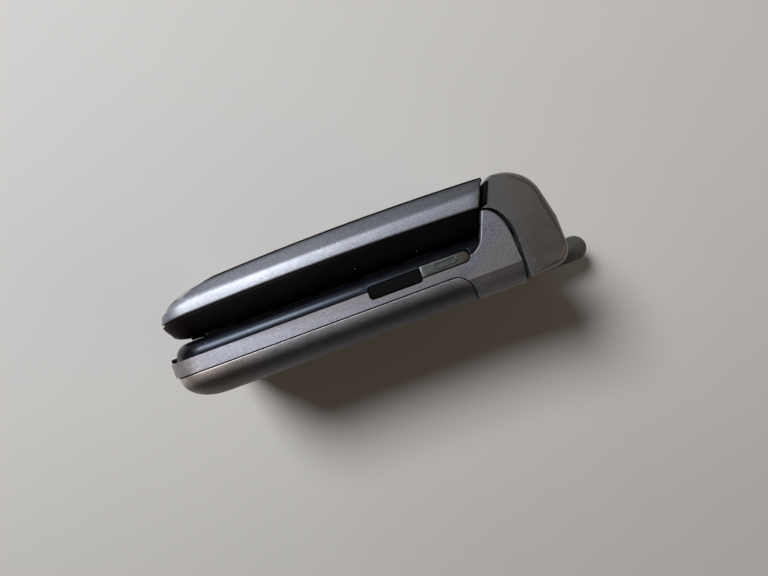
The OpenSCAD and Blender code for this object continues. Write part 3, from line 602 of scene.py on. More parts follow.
class Facing(Enum):
    """The side of the phone that a pad made flat at the origin is turned to: its along, across and up."""

    FRONT = ((1, 0, 0), (0, 0, -1), (0, 1, 0))
    REAR = ((1, 0, 0), (0, 0, 1), (0, -1, 0))
    SIDE = ((1, 0, 0), (0, 1, 0), (0, 0, 1))
    LEFT = ((1, 0, 0), (0, -1, 0), (0, 0, -1))
    CHIN = ((0, 0, 1), (0, 1, 0), (-1, 0, 0))
    READING = ((0, 0, 1), (1, 0, 0), (0, 1, 0))

    def turn(self) -> Matrix:
        """The matrix that turns the pad's own axes into the phone's."""
        return Matrix(self.value).transposed().to_4x4()


def _plain_object(name: str, bm: bmesh.types.BMesh) -> bpy.types.Object:
    """Puts a mesh in the scene.

    Args:
        name: Name of the mesh and of its object.
        bm: The shape.

    Returns:
        The object.
    """
    mesh = bpy.data.meshes.new(name)
    bm.to_mesh(mesh)
    thing = bpy.data.objects.new(name, mesh)
    bpy.context.scene.collection.objects.link(thing)
    return thing


class Form:
    """A mesh while it is shaped, in the phone's own millimetres until it is finished."""

    # Steps in a pad's round corner, in a loop's round end and over a pad's eased edge.
    corner_steps, loop_steps, edge_steps = 5, 8, 3

    def __init__(self) -> None:
        """Starts empty."""
        self.bm = bmesh.new()

    @classmethod
    def copy_of(cls, node: str) -> "Form":
        """Copies a CAD node's mesh.

        Args:
            node: Name of the CAD node.

        Returns:
            The copy, merged, with flat faces joined up again.
        """
        form = cls()
        bm = form.bm
        bm.from_mesh(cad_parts[node].data)
        bmesh.ops.transform(bm, verts=bm.verts, matrix=Matrix.Scale(1 / MM, 4))
        bmesh.ops.translate(bm, verts=bm.verts, vec=(CHIN_X, REAR_Y, 0))
        bmesh.ops.remove_doubles(bm, verts=bm.verts, dist=0.002)
        bmesh.ops.dissolve_limit(bm, angle_limit=math.radians(0.6), verts=bm.verts, edges=bm.edges)
        return form

    @classmethod
    def through_rings(cls, rings: Sequence[Ring], capped: bool = False) -> "Form":
        """Lays a skin through closed rings of equally many points.

        Args:
            rings: The rings, in order.
            capped: Whether the first and last ring are closed with a face.

        Returns:
            The skin, its seam merged and its faces pointing outwards.
        """
        form = cls()
        bm = form.bm
        across, round_ = len(rings) - 1, len(rings[0])
        bmesh.ops.create_grid(bm, x_segments=across, y_segments=round_, size=0.5)
        for vert in bm.verts:
            i, j = round((vert.co.x + 0.5) * across), round((vert.co.y + 0.5) * round_)
            vert.co = rings[i][j % round_]
        bmesh.ops.remove_doubles(bm, verts=bm.verts, dist=0.0008)
        bmesh.ops.dissolve_degenerate(bm, dist=0.0005, edges=bm.edges)
        if capped:
            bmesh.ops.holes_fill(bm, edges=[e for e in bm.edges if e.is_boundary], sides=0)
        bmesh.ops.recalc_face_normals(bm, faces=bm.faces)
        return form

    @classmethod
    def _outline(cls, length: float, width: float, corner: float, steps: int) -> "Form":
        """Makes a flat face with round corners at the origin.

        Args:
            length: Size along X.
            width: Size along Y.
            corner: Radius of the corners.
            steps: Segments in a corner.

        Returns:
            The face.
        """
        form = cls()
        bmesh.ops.create_grid(form.bm, x_segments=1, y_segments=1, size=0.5)
        bmesh.ops.scale(form.bm, vec=(length, width, 1), verts=form.bm.verts)
        bmesh.ops.bevel(form.bm, geom=form.bm.verts[:], offset=corner, segments=steps, profile=0.5,
                        affect="VERTICES", material=-1)
        return form

    @classmethod
    def slab(cls, length: float, width: float, corner: float, height: float, edge: float = 0.0) -> "Form":
        """Makes a flat pad with round corners and an eased top edge, its bottom at the origin.

        Args:
            length: Size along X.
            width: Size along Y.
            corner: Radius of the corners.
            height: Thickness.
            edge: Radius of the top edge.

        Returns:
            The pad.
        """
        form = cls._outline(length, width, corner * 0.999, cls.corner_steps)
        return form.raise_outline(height, edge)

    @classmethod
    def disc(cls, radius: float, height: float, edge: float = 0.0, sides: int = 48) -> "Form":
        """Makes a round pad with an eased top edge, its bottom at the origin.

        Args:
            radius: Its radius.
            height: Thickness.
            edge: Radius of the top edge.
            sides: Sides of the outline.

        Returns:
            The pad.
        """
        form = cls()
        bmesh.ops.create_circle(form.bm, cap_ends=True, radius=radius, segments=sides)
        return form.raise_outline(height, edge)

    @classmethod
    def loop(cls, length: float, width: float, line: float, height: float) -> "Form":
        """Makes a raised line round a long rounded field, its bottom at the origin.

        Args:
            length: Outer length of the field.
            width: Outer width of the field.
            line: Width of the line.
            height: Height of the line.

        Returns:
            The raised line.
        """
        form = cls._outline(length, width, min(length, width) * 0.495, cls.loop_steps)
        bm = form.bm
        bmesh.ops.inset_region(bm, faces=bm.faces[:], thickness=line, use_boundary=True)
        inner = min(bm.faces, key=lambda f: f.calc_center_median().length + (len(f.verts) < 12))
        bmesh.ops.delete(bm, geom=[inner], context="FACES_ONLY")
        form.extrude((0, 0, height))
        return form

    @classmethod
    def mark(cls, text: str, size: float) -> "Form":
        """Makes a printed figure as a very thin pad, its middle at the origin.

        Args:
            text: One figure or sign.
            size: Height of the figure.

        Returns:
            The print.
        """
        curve = bpy.data.curves.new("figure", "FONT")
        curve.body, curve.size = text, size / 0.7
        curve.resolution_u = 3
        holder = bpy.data.objects.new("figure", curve)
        bpy.context.scene.collection.objects.link(holder)
        bpy.context.view_layer.update()
        graph = bpy.context.evaluated_depsgraph_get()
        mesh = bpy.data.meshes.new_from_object(holder.evaluated_get(graph))
        form = cls()
        bm = form.bm
        bm.from_mesh(mesh)
        bpy.data.objects.remove(holder)
        bpy.data.curves.remove(curve)
        bpy.data.meshes.remove(mesh)
        bmesh.ops.remove_doubles(bm, verts=bm.verts, dist=0.0005)
        low, high = (Vector([end(v.co[i] for v in bm.verts) for i in range(3)]) for end in (min, max))
        bmesh.ops.translate(bm, verts=bm.verts, vec=-(low + high) / 2)
        form.extrude((0, 0, PRINT_T))
        return form

    @classmethod
    def bar(cls, corners: Iterable[Sequence[float]], along: Sequence[float]) -> "Form":
        """Draws a flat outline out to a closed solid.

        Args:
            corners: The outline's corners.
            along: How far it is drawn out.

        Returns:
            The solid.
        """
        form = cls()
        form.bm.faces.new([form.bm.verts.new(corner) for corner in corners])
        form.extrude(along)
        return form

    def extrude(self, along: Sequence[float]) -> list[bmesh.types.BMFace]:
        """Draws all faces out to a closed solid.

        Args:
            along: How far they are drawn out.

        Returns:
            The faces at the far end.
        """
        made = bmesh.ops.extrude_face_region(self.bm, geom=self.bm.faces[:])["geom"]
        bmesh.ops.translate(self.bm, vec=along, verts=[v for v in made if isinstance(v, bmesh.types.BMVert)])
        bmesh.ops.recalc_face_normals(self.bm, faces=self.bm.faces)
        return [f for f in made if isinstance(f, bmesh.types.BMFace)]

    def raise_outline(self, height: float, edge: float = 0.0) -> "Form":
        """Turns a flat face into a pad whose bottom is at 0 and whose top is at height.

        Args:
            height: Thickness.
            edge: Radius of the top edge.

        Returns:
            The form itself.
        """
        rim = self.extrude((0, 0, height))[0].edges[:]
        if edge:
            bmesh.ops.bevel(self.bm, geom=rim, offset=edge, segments=self.edge_steps, profile=0.5,
                            affect="EDGES", material=-1)
        return self

    def span(self, axis: int) -> Point:
        """Lowest and highest place along one axis."""
        places = [v.co[axis] for v in self.bm.verts]
        return min(places), max(places)

    def move(self, matrix: Matrix) -> "Form":
        """Moves the whole form by a matrix, and gives it back."""
        bmesh.ops.transform(self.bm, matrix=matrix, verts=self.bm.verts)
        return self

    def face_to(self, facing: Facing, x: float, y: float, z: float) -> "Form":
        """Turns a pad made at the origin to a side of the phone, its bottom's middle at a point."""
        return self.move(Matrix.Translation((x, y, z)) @ facing.turn())

    def join(self, other: "Form", material: int = 0) -> "Form":
        """Adds another form's mesh to this one.

        Args:
            other: The form to add; it is used up.
            material: Which of the piece's finishes the added faces take.

        Returns:
            The form itself.
        """
        for face in other.bm.faces:
            face.material_index = material
        spare = bpy.data.meshes.new("spare")
        other.bm.to_mesh(spare)
        self.bm.from_mesh(spare)
        bpy.data.meshes.remove(spare)
        other.bm.free()
        return self

    def round_edges(self, width: float, angle: float = 30.0, segments: int = 2,
                    only: Callable[[BMEdge], bool] | None = None, clamp: bool = True) -> "Form":
        """Rounds the sharp outer edges that a test picks.

        Args:
            width: How far the rounding reaches on each face.
            angle: Edges that turn more than this many degrees count as sharp.
            segments: Steps in the rounding.
            only: A test on an edge, or None for all sharp edges.
            clamp: Whether short neighbouring edges may hold the rounding back.

        Returns:
            The form itself.
        """
        limit = math.radians(angle)
        picked = [e for e in self.bm.edges if len(e.link_faces) == 2 and e.calc_face_angle(0.0) > limit
                  and e.is_convex and (only is None or only(e))]
        if picked:
            bmesh.ops.bevel(self.bm, geom=picked, offset=width, segments=segments, profile=0.5,
                            affect="EDGES", material=-1, clamp_overlap=clamp, loop_slide=True)
        return self

    def carve(self, *cutters: "Form") -> "Form":
        """Cuts other closed forms out of this one.

        Args:
            cutters: The forms to cut out; they are used up.

        Returns:
            The form itself.
        """
        body, tool = _plain_object("body", self.bm), cutters[0]
        for other in cutters[1:]:
            tool.join(other)
        knife = _plain_object("knife", tool.bm)
        cut = body.modifiers.new("cut", "BOOLEAN")
        cut.operation, cut.solver, cut.object = "DIFFERENCE", "EXACT", knife
        bpy.context.view_layer.update()
        graph = bpy.context.evaluated_depsgraph_get()
        result = bpy.data.meshes.new_from_object(body.evaluated_get(graph))
        self.bm.free()
        self.bm = bmesh.new()
        self.bm.from_mesh(result)
        tool.bm.free()
        for thing in (body, knife):
            mesh = thing.data
            bpy.data.objects.remove(thing)
            bpy.data.meshes.remove(mesh)
        bpy.data.meshes.remove(result)
        return self

    def finish(self, name: str, body: str, paint: Finish, slot: str, replaces: Iterable[str] = (),
               crease: float = 32.0, more: Sequence[Finish] = (), even: bool = False) -> bpy.types.Object:
        """Places the form in the row frame and makes it a piece of the phone.

        Args:
            name: Name of the piece.
            body: CAD body that it rides on.
            paint: Its finish.
            slot: The record's material slot; not used.
            replaces: CAD nodes that it stands for.
            crease: Edges sharper than this many degrees stay crisp.
            more: Finishes of added faces, counted from 1.
            even: Whether large flat faces rule the shading, as on a moulding with small roundings.

        Returns:
            The piece's object.
        """
        bmesh.ops.translate(self.bm, verts=self.bm.verts, vec=(-CHIN_X, -REAR_Y, 0))
        bmesh.ops.transform(self.bm, verts=self.bm.verts, matrix=Matrix.Scale(MM, 4))
        piece = _plain_object(name, self.bm)
        self.bm.free()
        piece.data.shade_smooth()
        piece.data.set_sharp_from_angle(angle=math.radians(crease))
        for each in (paint, *more):
            piece.data.materials.append(each.build())
        if even:
            steady = piece.modifiers.new("even_shading", "WEIGHTED_NORMAL")
            steady.weight, steady.keep_sharp = 80, True
        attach(piece, body)
        nodes = list(replaces)
        if nodes:
            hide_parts(*nodes)
        log.info("%s: %d faces on %s", name, len(piece.data.polygons), body)
        return piece


def arc(cx: float, cy: float, rx: float, ry: float, start: float, end: float, steps: int) -> list[Point]:
    """Places points on an ellipse's arc.

    Args:
        cx: Centre along X.
        cy: Centre along Y.
        rx: Radius along X.
        ry: Radius along Y.
        start: First angle in degrees.
        end: Last angle in degrees.
        steps: Number of steps.

    Returns:
        The points, both ends included.
    """
    turns = [math.radians(start + (end - start) * i / steps) for i in range(steps + 1)]
    return [(cx + rx * math.cos(t), cy + ry * math.sin(t)) for t in turns]


def prism(outline: Sequence[Point], low: float, high: float) -> Form:
    """A closed solid from a side-view outline in X and Y, between two places across the phone."""
    return Form.bar([(x, y, low) for x, y in outline], (0, 0, high - low))


def girder(section: Sequence[Point], low: float, high: float) -> Form:
    """A closed solid from a cross-section in Y and Z, between two places along the phone."""
    return Form.bar([(low, y, z) for y, z in section], (high - low, 0, 0))


@dataclass
class Plan:
    """Front-view outline of a shell, drawn as a ring at a given inset and height."""

    chin: float
    end: float
    chin_corner: float = 7.0
    end_corner: float = 0.5
    side_steps: int = 36
    corner_steps: int = 9
    chin_steps: int = 5
    end_corner_steps: int = 4
    end_breaks: tuple[float, ...] = (0.0, 9.0, 16.0, 20.49, 20.51)
    lean_reach: float = 14.0
    least_corner: float = 0.02

    def ring(self, inset: float, height: Callable[[float, float], float], chin: float | None = None,
             end: Callable[[float], float] | None = None, chin_corner: float | None = None) -> Ring:
        """Draws one ring of the shell.

        Args:
            inset: How far the sides are drawn in.
            height: Height above the rear face at a place (x, z).
            chin: Where the ring's chin end lies, if not at the inset.
            end: Where its hinge end lies at a height, if not at the inset.
            chin_corner: Radius of the chin's corners, if not the usual one less the inset.

        Returns:
            The ring's points, in the phone's own millimetres.
        """
        half = MID_Z - inset
        x0 = self.chin + inset if chin is None else chin
        x1 = self.end - inset
        r0 = max(self.chin_corner - inset, self.least_corner) if chin_corner is None else chin_corner
        r0 = min(r0, half)
        r1 = min(max(self.end_corner, self.least_corner), half)
        flat: list[Point] = [(x1, min(b, half - r1)) for b in self.end_breaks]
        flat += arc(x1 - r1, half - r1, r1, r1, 0, 90, self.end_corner_steps)
        a, b = x1 - r1, x0 + r0
        flat += [(a + (b - a) * i / self.side_steps, half) for i in range(1, self.side_steps)]
        flat += arc(x0 + r0, half - r0, r0, r0, 90, 180, self.corner_steps)
        flat += [(x0, (half - r0) * (1 - i / self.chin_steps)) for i in range(1, self.chin_steps)]
        flat.append((x0, 0.0))
        points: Ring = []
        for x, z in flat + [(x, -z) for x, z in reversed(flat[1:-1])]:
            if end is not None:
                x = self._lean(x, x1, end(height(x, z)))
            points.append(Vector((x, height(x, z), MID_Z + z)))
        return points

    def _lean(self, x: float, usual: float, goal: float) -> float:
        """Moves the last stretch of the outline so that its end lies where it should.

        Args:
            x: A place on the outline.
            usual: Where its end lies.
            goal: Where its end should lie.

        Returns:
            The moved place.
        """
        share = max(0.0, (x - (usual - self.lean_reach)) / self.lean_reach)
        return x + (goal - usual) * share * share * (3 - 2 * share) if goal != usual else x


# ---------------------------------------------------------------- curves of the side view

LID_LEN, TIP_X, LID_Y, SPLIT_Y, CROWN_Y = 72.15, 0.9, 12.85, 17.8, 23.6
PLATE_X, PLATE_EDGE, PLATE_T, PLATE_PROUD = 10.0, 2.0, 0.8, 0.3
SEAM_Y, BAND_Y, BASE_T, SHOULDER_X, BODY_LEN, EAR_X = 6.0, 9.1, 12.15, 63.7, 83.7, 73.6
AXIS_X, AXIS_Y, BARREL_R, BARREL_Z0, BARREL_Z1 = 76.8, 17.8, 3.8, 11.3, 33.7


def crown_at(x: float) -> float:
    """Height of the lid's crown at a distance x from the chin."""
    return CROWN_Y - 0.75 * ((x - LID_LEN * 0.61) / 30) ** 2 - 0.01325 * max(0.0, 15.8 - x) ** 2


def split_at(x: float) -> float:
    """Height of the split between the lid's two covers."""
    return SPLIT_Y - 0.65 * ((x - LID_LEN * 0.51) / 32.5) ** 2


def end_at(y: float) -> float:
    """Where the lid's slanted end lies at a height."""
    return LID_LEN - 0.503 * (crown_at(LID_LEN) - y)


def crease_at(x: float) -> float:
    """Height of the crease between the two facets of the lid's side."""
    middle = 20.3 - 0.6 * ((x - 40.8) / 31) ** 2
    return min(middle, split_at(x) + 0.5 * (crown_at(x) - split_at(x)))


# ---------------------------------------------------------------- lid


@dataclass
class Lid:
    """The lid: silver outer cover with its glossy plate, black inner cover, windows and bumpers."""

    facet_in: float = 1.75
    groove: float = 0.28
    plate_corner: float = 5.0
    plate_half: float = 20.5
    inner_end: float = LID_LEN - 3.2
    window: tuple[float, float, float, float] = (36.15, 56.15, 10.0, 35.0)
    camera: tuple[float, float] = (62.35, 5.0)
    display: tuple[float, float, float, float] = (12.0, 56.65, 5.0, 40.0)
    flex_slot: tuple[float, float, float] = (1.4, 9.0, 0.6)
    screws: tuple[Point, ...] = ((6.3, 8.6), (6.3, 36.4))

    def build(self) -> None:
        """Makes every piece of the lid."""
        self.outer_cover()
        self.inner_cover()
        self.plate()
        self.windows()
        self.bumpers()

    def outer_cover(self) -> None:
        """Silver cover with two facets on its sides and a recess for the plate."""
        plan, facet = Plan(TIP_X, LID_LEN), self.facet_in

        def height(curve: Callable[[float], float], shift: float) -> Callable[[float, float], float]:
            """Follows one of the lid's curves, and dips where the plate runs out over the end.

            Args:
                curve: The curve.
                shift: Distance from it.

            Returns:
                The height at a place.
            """
            def at_place(x: float, z: float) -> float:
                """The height at one place."""
                y = curve(min(x, LID_LEN)) + shift
                return min(y, crown_at(x) - PLATE_T) if x > LID_LEN - 1.5 and abs(z) < self.plate_half else y

            return at_place

        def end(y: float) -> float:
            """The slanted end."""
            return end_at(y) - 0.02

        # From the inner edge at the split, up over the lower facet, the crease and the upper facet.
        flank = ((1.3, split_at, 0.5), (1.1, split_at, 0.03), (0.42, split_at, 0.03), (0.3, split_at, 0.1),
                 (0.12, split_at, 0.2), (0.04, split_at, 0.32), (0.02, split_at, 0.55),
                 (0.31, crease_at, -0.4), (0.35, crease_at, -0.07), (0.38, crease_at, 0.07),
                 (0.58, crease_at, 0.4), (facet - 0.35, crown_at, -0.92), (facet - 0.08, crown_at, -0.56),
                 (facet + 0.08, crown_at, -0.4), (PLATE_EDGE, crown_at, -0.32))
        rings = [plan.ring(inset, height(curve, shift), end=end) for inset, curve, shift in flank]
        chin_x = TIP_X + PLATE_EDGE
        recess = [(chin_x + (PLATE_X - chin_x) * share, PLATE_PROUD) for share in (0.15, 0.3, 0.5, 0.75, 1.0)]
        for x, drop in [*recess, (PLATE_X, PLATE_T)]:
            rings.append(plan.ring(PLATE_EDGE, height(crown_at, -drop), chin=x, end=end,
                                   chin_corner=self.plate_corner))
        for inset, drop, x, corner in ((4.0, PLATE_T, PLATE_X + 2, 3.0), (4.0, 1.8, PLATE_X + 2, 3.0),
                                       (1.4, 2.2, 4.5, 5.0)):
            rings.append(plan.ring(inset, height(crown_at, -drop), chin=x, end=lambda y: self.inner_end,
                                   chin_corner=corner))
        rings.append(plan.ring(1.3, height(split_at, 0.5), end=lambda y: end_at(y) - 1.2))
        rings.append(rings[0])
        neck = prism([(LID_LEN - 4.6, SPLIT_Y - 1.5), (LID_LEN - 4.6, CROWN_Y - 2.58),
                      (LID_LEN + 3, CROWN_Y - 2.3), (LID_LEN + 3, SPLIT_Y - 1.5)],
                     BARREL_Z0 - 0.02, BARREL_Z1 + 0.02)
        cover = Form.through_rings(rings).carve(neck)
        cover.finish("lid_shell", "lid", Paint.LID_SILVER, "silver_shell", ["lid_outer_cover"], crease=34)

    def inner_cover(self) -> None:
        """Black cover with the display's opening, the hinge barrel and its neck."""
        plan = Plan(TIP_X, LID_LEN)
        corner = plan.chin_corner

        def chin(y: float) -> float:
            """Draws the slanted face of the tip.

            Args:
                y: A height.

            Returns:
                Where the tip lies there.
            """
            high, low = (17.0, TIP_X + 0.05), (13.55, 2.6)
            if y >= low[0]:
                return low[1] + (high[1] - low[1]) * min(1.0, (y - low[0]) / (high[0] - low[0]))
            return 4.4 + (low[1] - 4.4) * (y - LID_Y) / (low[0] - LID_Y)

        def end(y: float) -> float:
            """Draws the slanted end beside the ear.

            Args:
                y: A height.

            Returns:
                Where the end lies there.
            """
            if y >= 16.5:
                return 68.95 + (end_at(17.0) - 68.95) * min(1.0, (y - 16.5) / 0.6)
            return 67.55 + 1.4 * (y - LID_Y) / 3.65

        def side(inset: float, y: float) -> Ring:
            """A ring at one height."""
            return plan.ring(inset, lambda x, z: y, chin=chin(y) + inset * 0.6,
                             end=lambda h: end(h) - inset * 0.4, chin_corner=max(corner - inset, 0.3))

        def near_split(inset: float, drop: float) -> Ring:
            """A ring that follows the split."""
            return plan.ring(inset, lambda x, z: split_at(x) - drop, chin=TIP_X + inset,
                             end=lambda y: end_at(y) - 0.1 - inset * 0.4, chin_corner=corner - inset)

        rings = [side(inset, LID_Y + 1.0) for inset in (MID_Z, 6.0, 1.1)]
        rings += [near_split(1.1, 0.6), near_split(1.1, 0.05), near_split(0.55, 0.05),
                  near_split(0.5, self.groove), near_split(0.16, self.groove + 0.06),
                  near_split(0.04, self.groove + 0.2)]
        rings.append(plan.ring(0.0, lambda x, z: split_at(x) - 1.4, chin=TIP_X + 0.45,
                               end=lambda y: end_at(17.0) - 0.9, chin_corner=corner))
        rings += [side(inset, y) for inset, y in (
            (0.0, 14.6), (0.06, 13.9), (0.3, 13.35), (0.62, 13.05), (1.1, 12.9), (1.6, LID_Y), (6.0, LID_Y),
            (14.0, LID_Y), (MID_Z, LID_Y))]
        cover = Form.through_rings(rings)
        x0, x1, z0, z1 = self.display
        under = LID_Y - 1
        opening = Form.slab(x1 - x0 + 0.2, z1 - z0 + 0.2, 1.1, 3.0)
        opening.face_to(Facing.FRONT, (x0 + x1) / 2, under, MID_Z)
        slot = Form.slab(*self.flex_slot, 3.0).face_to(Facing.FRONT, LID_LEN - 10.3, under, MID_Z)
        screws = [Form.disc(1.6, 1.9, sides=32).face_to(Facing.FRONT, x, under, z) for x, z in self.screws]
        cover.carve(opening, slot, *screws)
        barrel = Form.disc(BARREL_R, BARREL_Z1 - BARREL_Z0, 0.25, sides=72)
        barrel.face_to(Facing.SIDE, AXIS_X, AXIS_Y, BARREL_Z0)
        neck = prism([(LID_LEN - 3.4, SPLIT_Y - 1), (end_at(CROWN_Y - 2.4) - 0.6, CROWN_Y - 2.6),
                      (AXIS_X - 1.3, AXIS_Y + BARREL_R - 0.25), (AXIS_X - BARREL_R + 0.2, AXIS_Y - 0.6)],
                     BARREL_Z0 + 0.01, BARREL_Z1 - 0.01)
        cover.join(barrel).join(neck)
        cover.finish("lid_inside", "lid", Paint.LID_BLACK, "black_matte", ["lid_inner_cover"], crease=30)

    def plate(self) -> None:
        """Glossy plate over the crown, with its two windows' openings."""
        plate = Form.copy_of("lid_plate")
        plate.round_edges(0.12, 40, 2, lambda e: all(v.co.y > crown_at(v.co.x) - 0.1 for v in e.verts))
        plate.finish("lid_plate_gloss", "lid", Paint.PLATE_BLACK, "black_gloss", ["lid_plate"], even=True)

    def windows(self) -> None:
        """Window panes of the lid, with the fields that show through them."""
        for node, (x0, x1, z0, z1), frame_x, frame_z, corner, facing in (
                ("outer_window", self.window, 4.0, 4.0, 0.4, Facing.FRONT),
                ("display_window", self.display, 6.0, 4.6, 0.3, Facing.REAR)):
            shown = Form.slab(x1 - x0 - frame_x, z1 - z0 - frame_z, corner, PRINT_T)
            self.pane(node, 0.06, shown, (x0 + x1) / 2, facing, Paint.SCREEN)
        x, size = self.camera
        self.pane("camera_window", 0.1, Form.loop(size, size, 0.55, 0.05), x, Facing.FRONT, Paint.STEEL)

    def pane(self, node: str, edge: float, shown: Form, x: float, facing: Facing, paint: Finish) -> None:
        """Makes one tinted pane with a field or ring of another finish on it.

        Args:
            node: CAD node of the pane.
            edge: Width of the pane's eased edges.
            shown: The field, lying at the origin.
            x: Its middle along the phone.
            facing: Where the pane faces.
            paint: Finish of the field.
        """
        form = Form.copy_of(node).round_edges(edge, 40, 1)
        low, high = form.span(1)
        shown.face_to(facing, x, high - 0.03 if facing is Facing.FRONT else low + 0.03, MID_Z)
        form.join(shown, 1).finish(f"{node}_pane", "lid", Paint.PANE, "window", [node], more=(paint,))

    def bumpers(self) -> None:
        """Screws of the lid with the rubber bumpers in their heads."""
        fixings = Form.copy_of("lid_fixings")
        fixings.round_edges(0.22, 40, 3, lambda e: all(v.co.y < LID_Y for v in e.verts))
        fixings.finish("lid_bumpers", "lid", Paint.RUBBER, "rubber", ["lid_fixings"])


# ---------------------------------------------------------------- base


@dataclass
class Base:
    """The base: battery cover, silver frame, glossy keypad cover and the parts in its sides."""

    round_across: float = 7.4
    round_up: float = 5.9
    round_steps: int = 15
    end_round: float = 3.9
    crease_y: float = 4.6
    lean: tuple[Point, ...] = ((3.2, 0.62), (2.0, 1.35), (1.1, 2.2), (0.45, 3.2), (0.0, 4.6))
    rim_round: float = 2.8
    rim_turns: tuple[int, ...] = (15, 26, 36, 45, 54, 63, 72, 81)
    latch_half: float = 3.1
    key_loop: tuple[float, float, float, float] = (4.7, 1.25, 0.24, 0.2)
    volume_loop: tuple[float, float, float, float] = (2.6, 0.9, 0.2, 0.14)
    cover_loop: tuple[float, float, float, float] = (14.5, 1.5, 0.22, 0.1)
    lip: tuple[float, float, float, float, float] = (0.9, 1.5, 0.3, 0.22, 0.08)
    latch_rib: tuple[float, float, float, float, float] = (0.28, 1.2, 0.12, 0.16, 0.05)
    chin_stop: tuple[float, float, float, float, float] = (30.0, 0.9, 0.42, 2.28, 0.35)

    def build(self) -> None:
        """Makes every piece of the base."""
        self.battery_cover()
        self.frame_shell()
        self.keypad_cover()
        self.side_parts()
        self.chin_parts()

    def battery_cover(self) -> None:
        """Rear cover with rounded sides, a slanted chin, and a black strip of painted shade in the seam's
        groove along its edge.
        """
        plan = Plan(0.0, SHOULDER_X)
        curve_x, curve_y = 7.5, SEAM_Y - 0.4

        def chin(y: float, drawn: float) -> float:
            """Draws the curve of the chin.

            Args:
                y: A height.
                drawn: How far a wall draws it in.

            Returns:
                Where the chin lies there.
            """
            share = min(1.0, max(0.0, (curve_y - y) / (curve_y - drawn)))
            return curve_x - (curve_x - 0.6 - drawn) * math.sqrt(max(0.0, 1 - share * share))

        def end(y: float) -> float:
            """The round hinge end at a height."""
            rise = math.sqrt(max(0.0, 1 - (max(y, 0.0) / SEAM_Y) ** 2))
            return SHOULDER_X - self.end_round + self.end_round * rise

        def ring(y: float, inset: float, drawn: float = 0.0) -> Ring:
            """A ring at one height."""
            return plan.ring(inset, lambda x, z: y, chin=chin(y, drawn), end=lambda h: end(h) - drawn,
                             chin_corner=max(plan.chin_corner - inset * 0.55, 2.0))

        # The inner wall, the edge at the seam, the rounded side and the flat back.
        rings = [ring(1.0, MID_Z, 1.0), ring(1.0, 14.0, 1.0), ring(1.0, 5.5, 1.0), ring(2.3, 2.2, 1.0),
                 ring(4.5, 1.0, 1.0), ring(SEAM_Y - 0.01, 0.9, 1.0), ring(SEAM_Y - 0.01, 0.42, 0.42),
                 ring(SEAM_Y - 0.21, 0.4, 0.4), ring(SEAM_Y - 0.22, 0.015), ring(SEAM_Y - 0.25, 0.0),
                 ring(self.round_up - 0.2, 0.0)]
        for step in range(1, self.round_steps + 1):
            turn = math.radians(90 / self.round_steps * step)
            rings.append(ring(self.round_up * (1 - math.sin(turn)), self.round_across * (1 - math.cos(turn))))
        rings += [ring(0.0, inset) for inset in (10.6, 12.5, 15.5, 19.0, MID_Z)]
        # A black strip at the top of the cover paints the shade of the groove along the seam.
        seam = [ring(SEAM_Y - 0.012, 0.4, 0.4), ring(SEAM_Y - 0.012, 0.05), ring(SEAM_Y - 0.2, 0.03),
                ring(SEAM_Y - 0.2, 0.4, 0.4)]
        latch = prism([(-1, 3.2), (3, 3.2), (3, 5.0), (-1, 5.0)], MID_Z - self.latch_half,
                      MID_Z + self.latch_half)
        cover = Form.through_rings(rings).carve(latch).join(Form.through_rings(seam + seam[:1]), 1)
        cover.finish("rear_cover", "battery_cover", Paint.REAR_SILVER, "silver_rear", ["battery_cover"],
                     crease=30, more=(Paint.RUBBER,))

    def frame_shell(self) -> None:
        """Silver frame: the band along the side, the ear and the rear shoulder."""
        shell = Form.copy_of("mid_frame")

        def on_side(edge: BMEdge) -> bool:
            """Whether an edge lies in either of the phone's long sides."""
            return all(v.co.z > WIDTH - 0.02 for v in edge.verts) or all(v.co.z < 0.02 for v in edge.verts)

        def by_lid(edge: BMEdge) -> bool:
            """Whether an edge lies on the inner edge of the ear, beside the lid."""
            middle = (edge.verts[0].co + edge.verts[1].co) / 2
            return middle.y > 9.3 and middle.x > SHOULDER_X - 0.5

        shell.round_edges(0.35, 35, 3, lambda e: on_side(e) and by_lid(e), clamp=False)
        shell.round_edges(0.12, 35, 2, lambda e: on_side(e) and not by_lid(e) and e.calc_length() > 0.3)
        lean = [(self.crease_y, 0.0), *self.lean]
        outside = lean + [(-1.0, self.lean[-1][1]), (-1.0, -1.0), (self.crease_y, -1.0)]
        wall = [(y - 0.004, inset - 0.006) for y, inset in lean]
        wall += [(0.9, 4.4), (1.5, 2.9), (2.6, 1.9), (self.crease_y, 1.0)]
        right, left = [(y, WIDTH - inset) for y, inset in outside], outside
        x0, x1 = SHOULDER_X - 6.0, EAR_X + 3.0
        shell.carve(girder(right, x0, x1), girder(left, x0, x1))
        for section in ([(y, WIDTH - inset) for y, inset in wall], wall):
            shell.join(girder(section, SHOULDER_X + 0.12, EAR_X - 0.12))
        shell.finish("frame_shell", "base", Paint.BAND_SILVER, "silver_shell", ["mid_frame"], crease=24,
                     even=True)

    def keypad_cover(self) -> None:
        """Glossy black cover round the keys, its rim rounded by carving off what lies outside a loft."""
        size, end_x = self.rim_round, SHOULDER_X + 8
        plan = Plan(1.45, end_x, end_corner=0.05)

        def ring(inset: float, y: float) -> Ring:
            """The rounded form's outline at one height."""
            return plan.ring(inset, lambda x, z: y, end=lambda h: end_x)

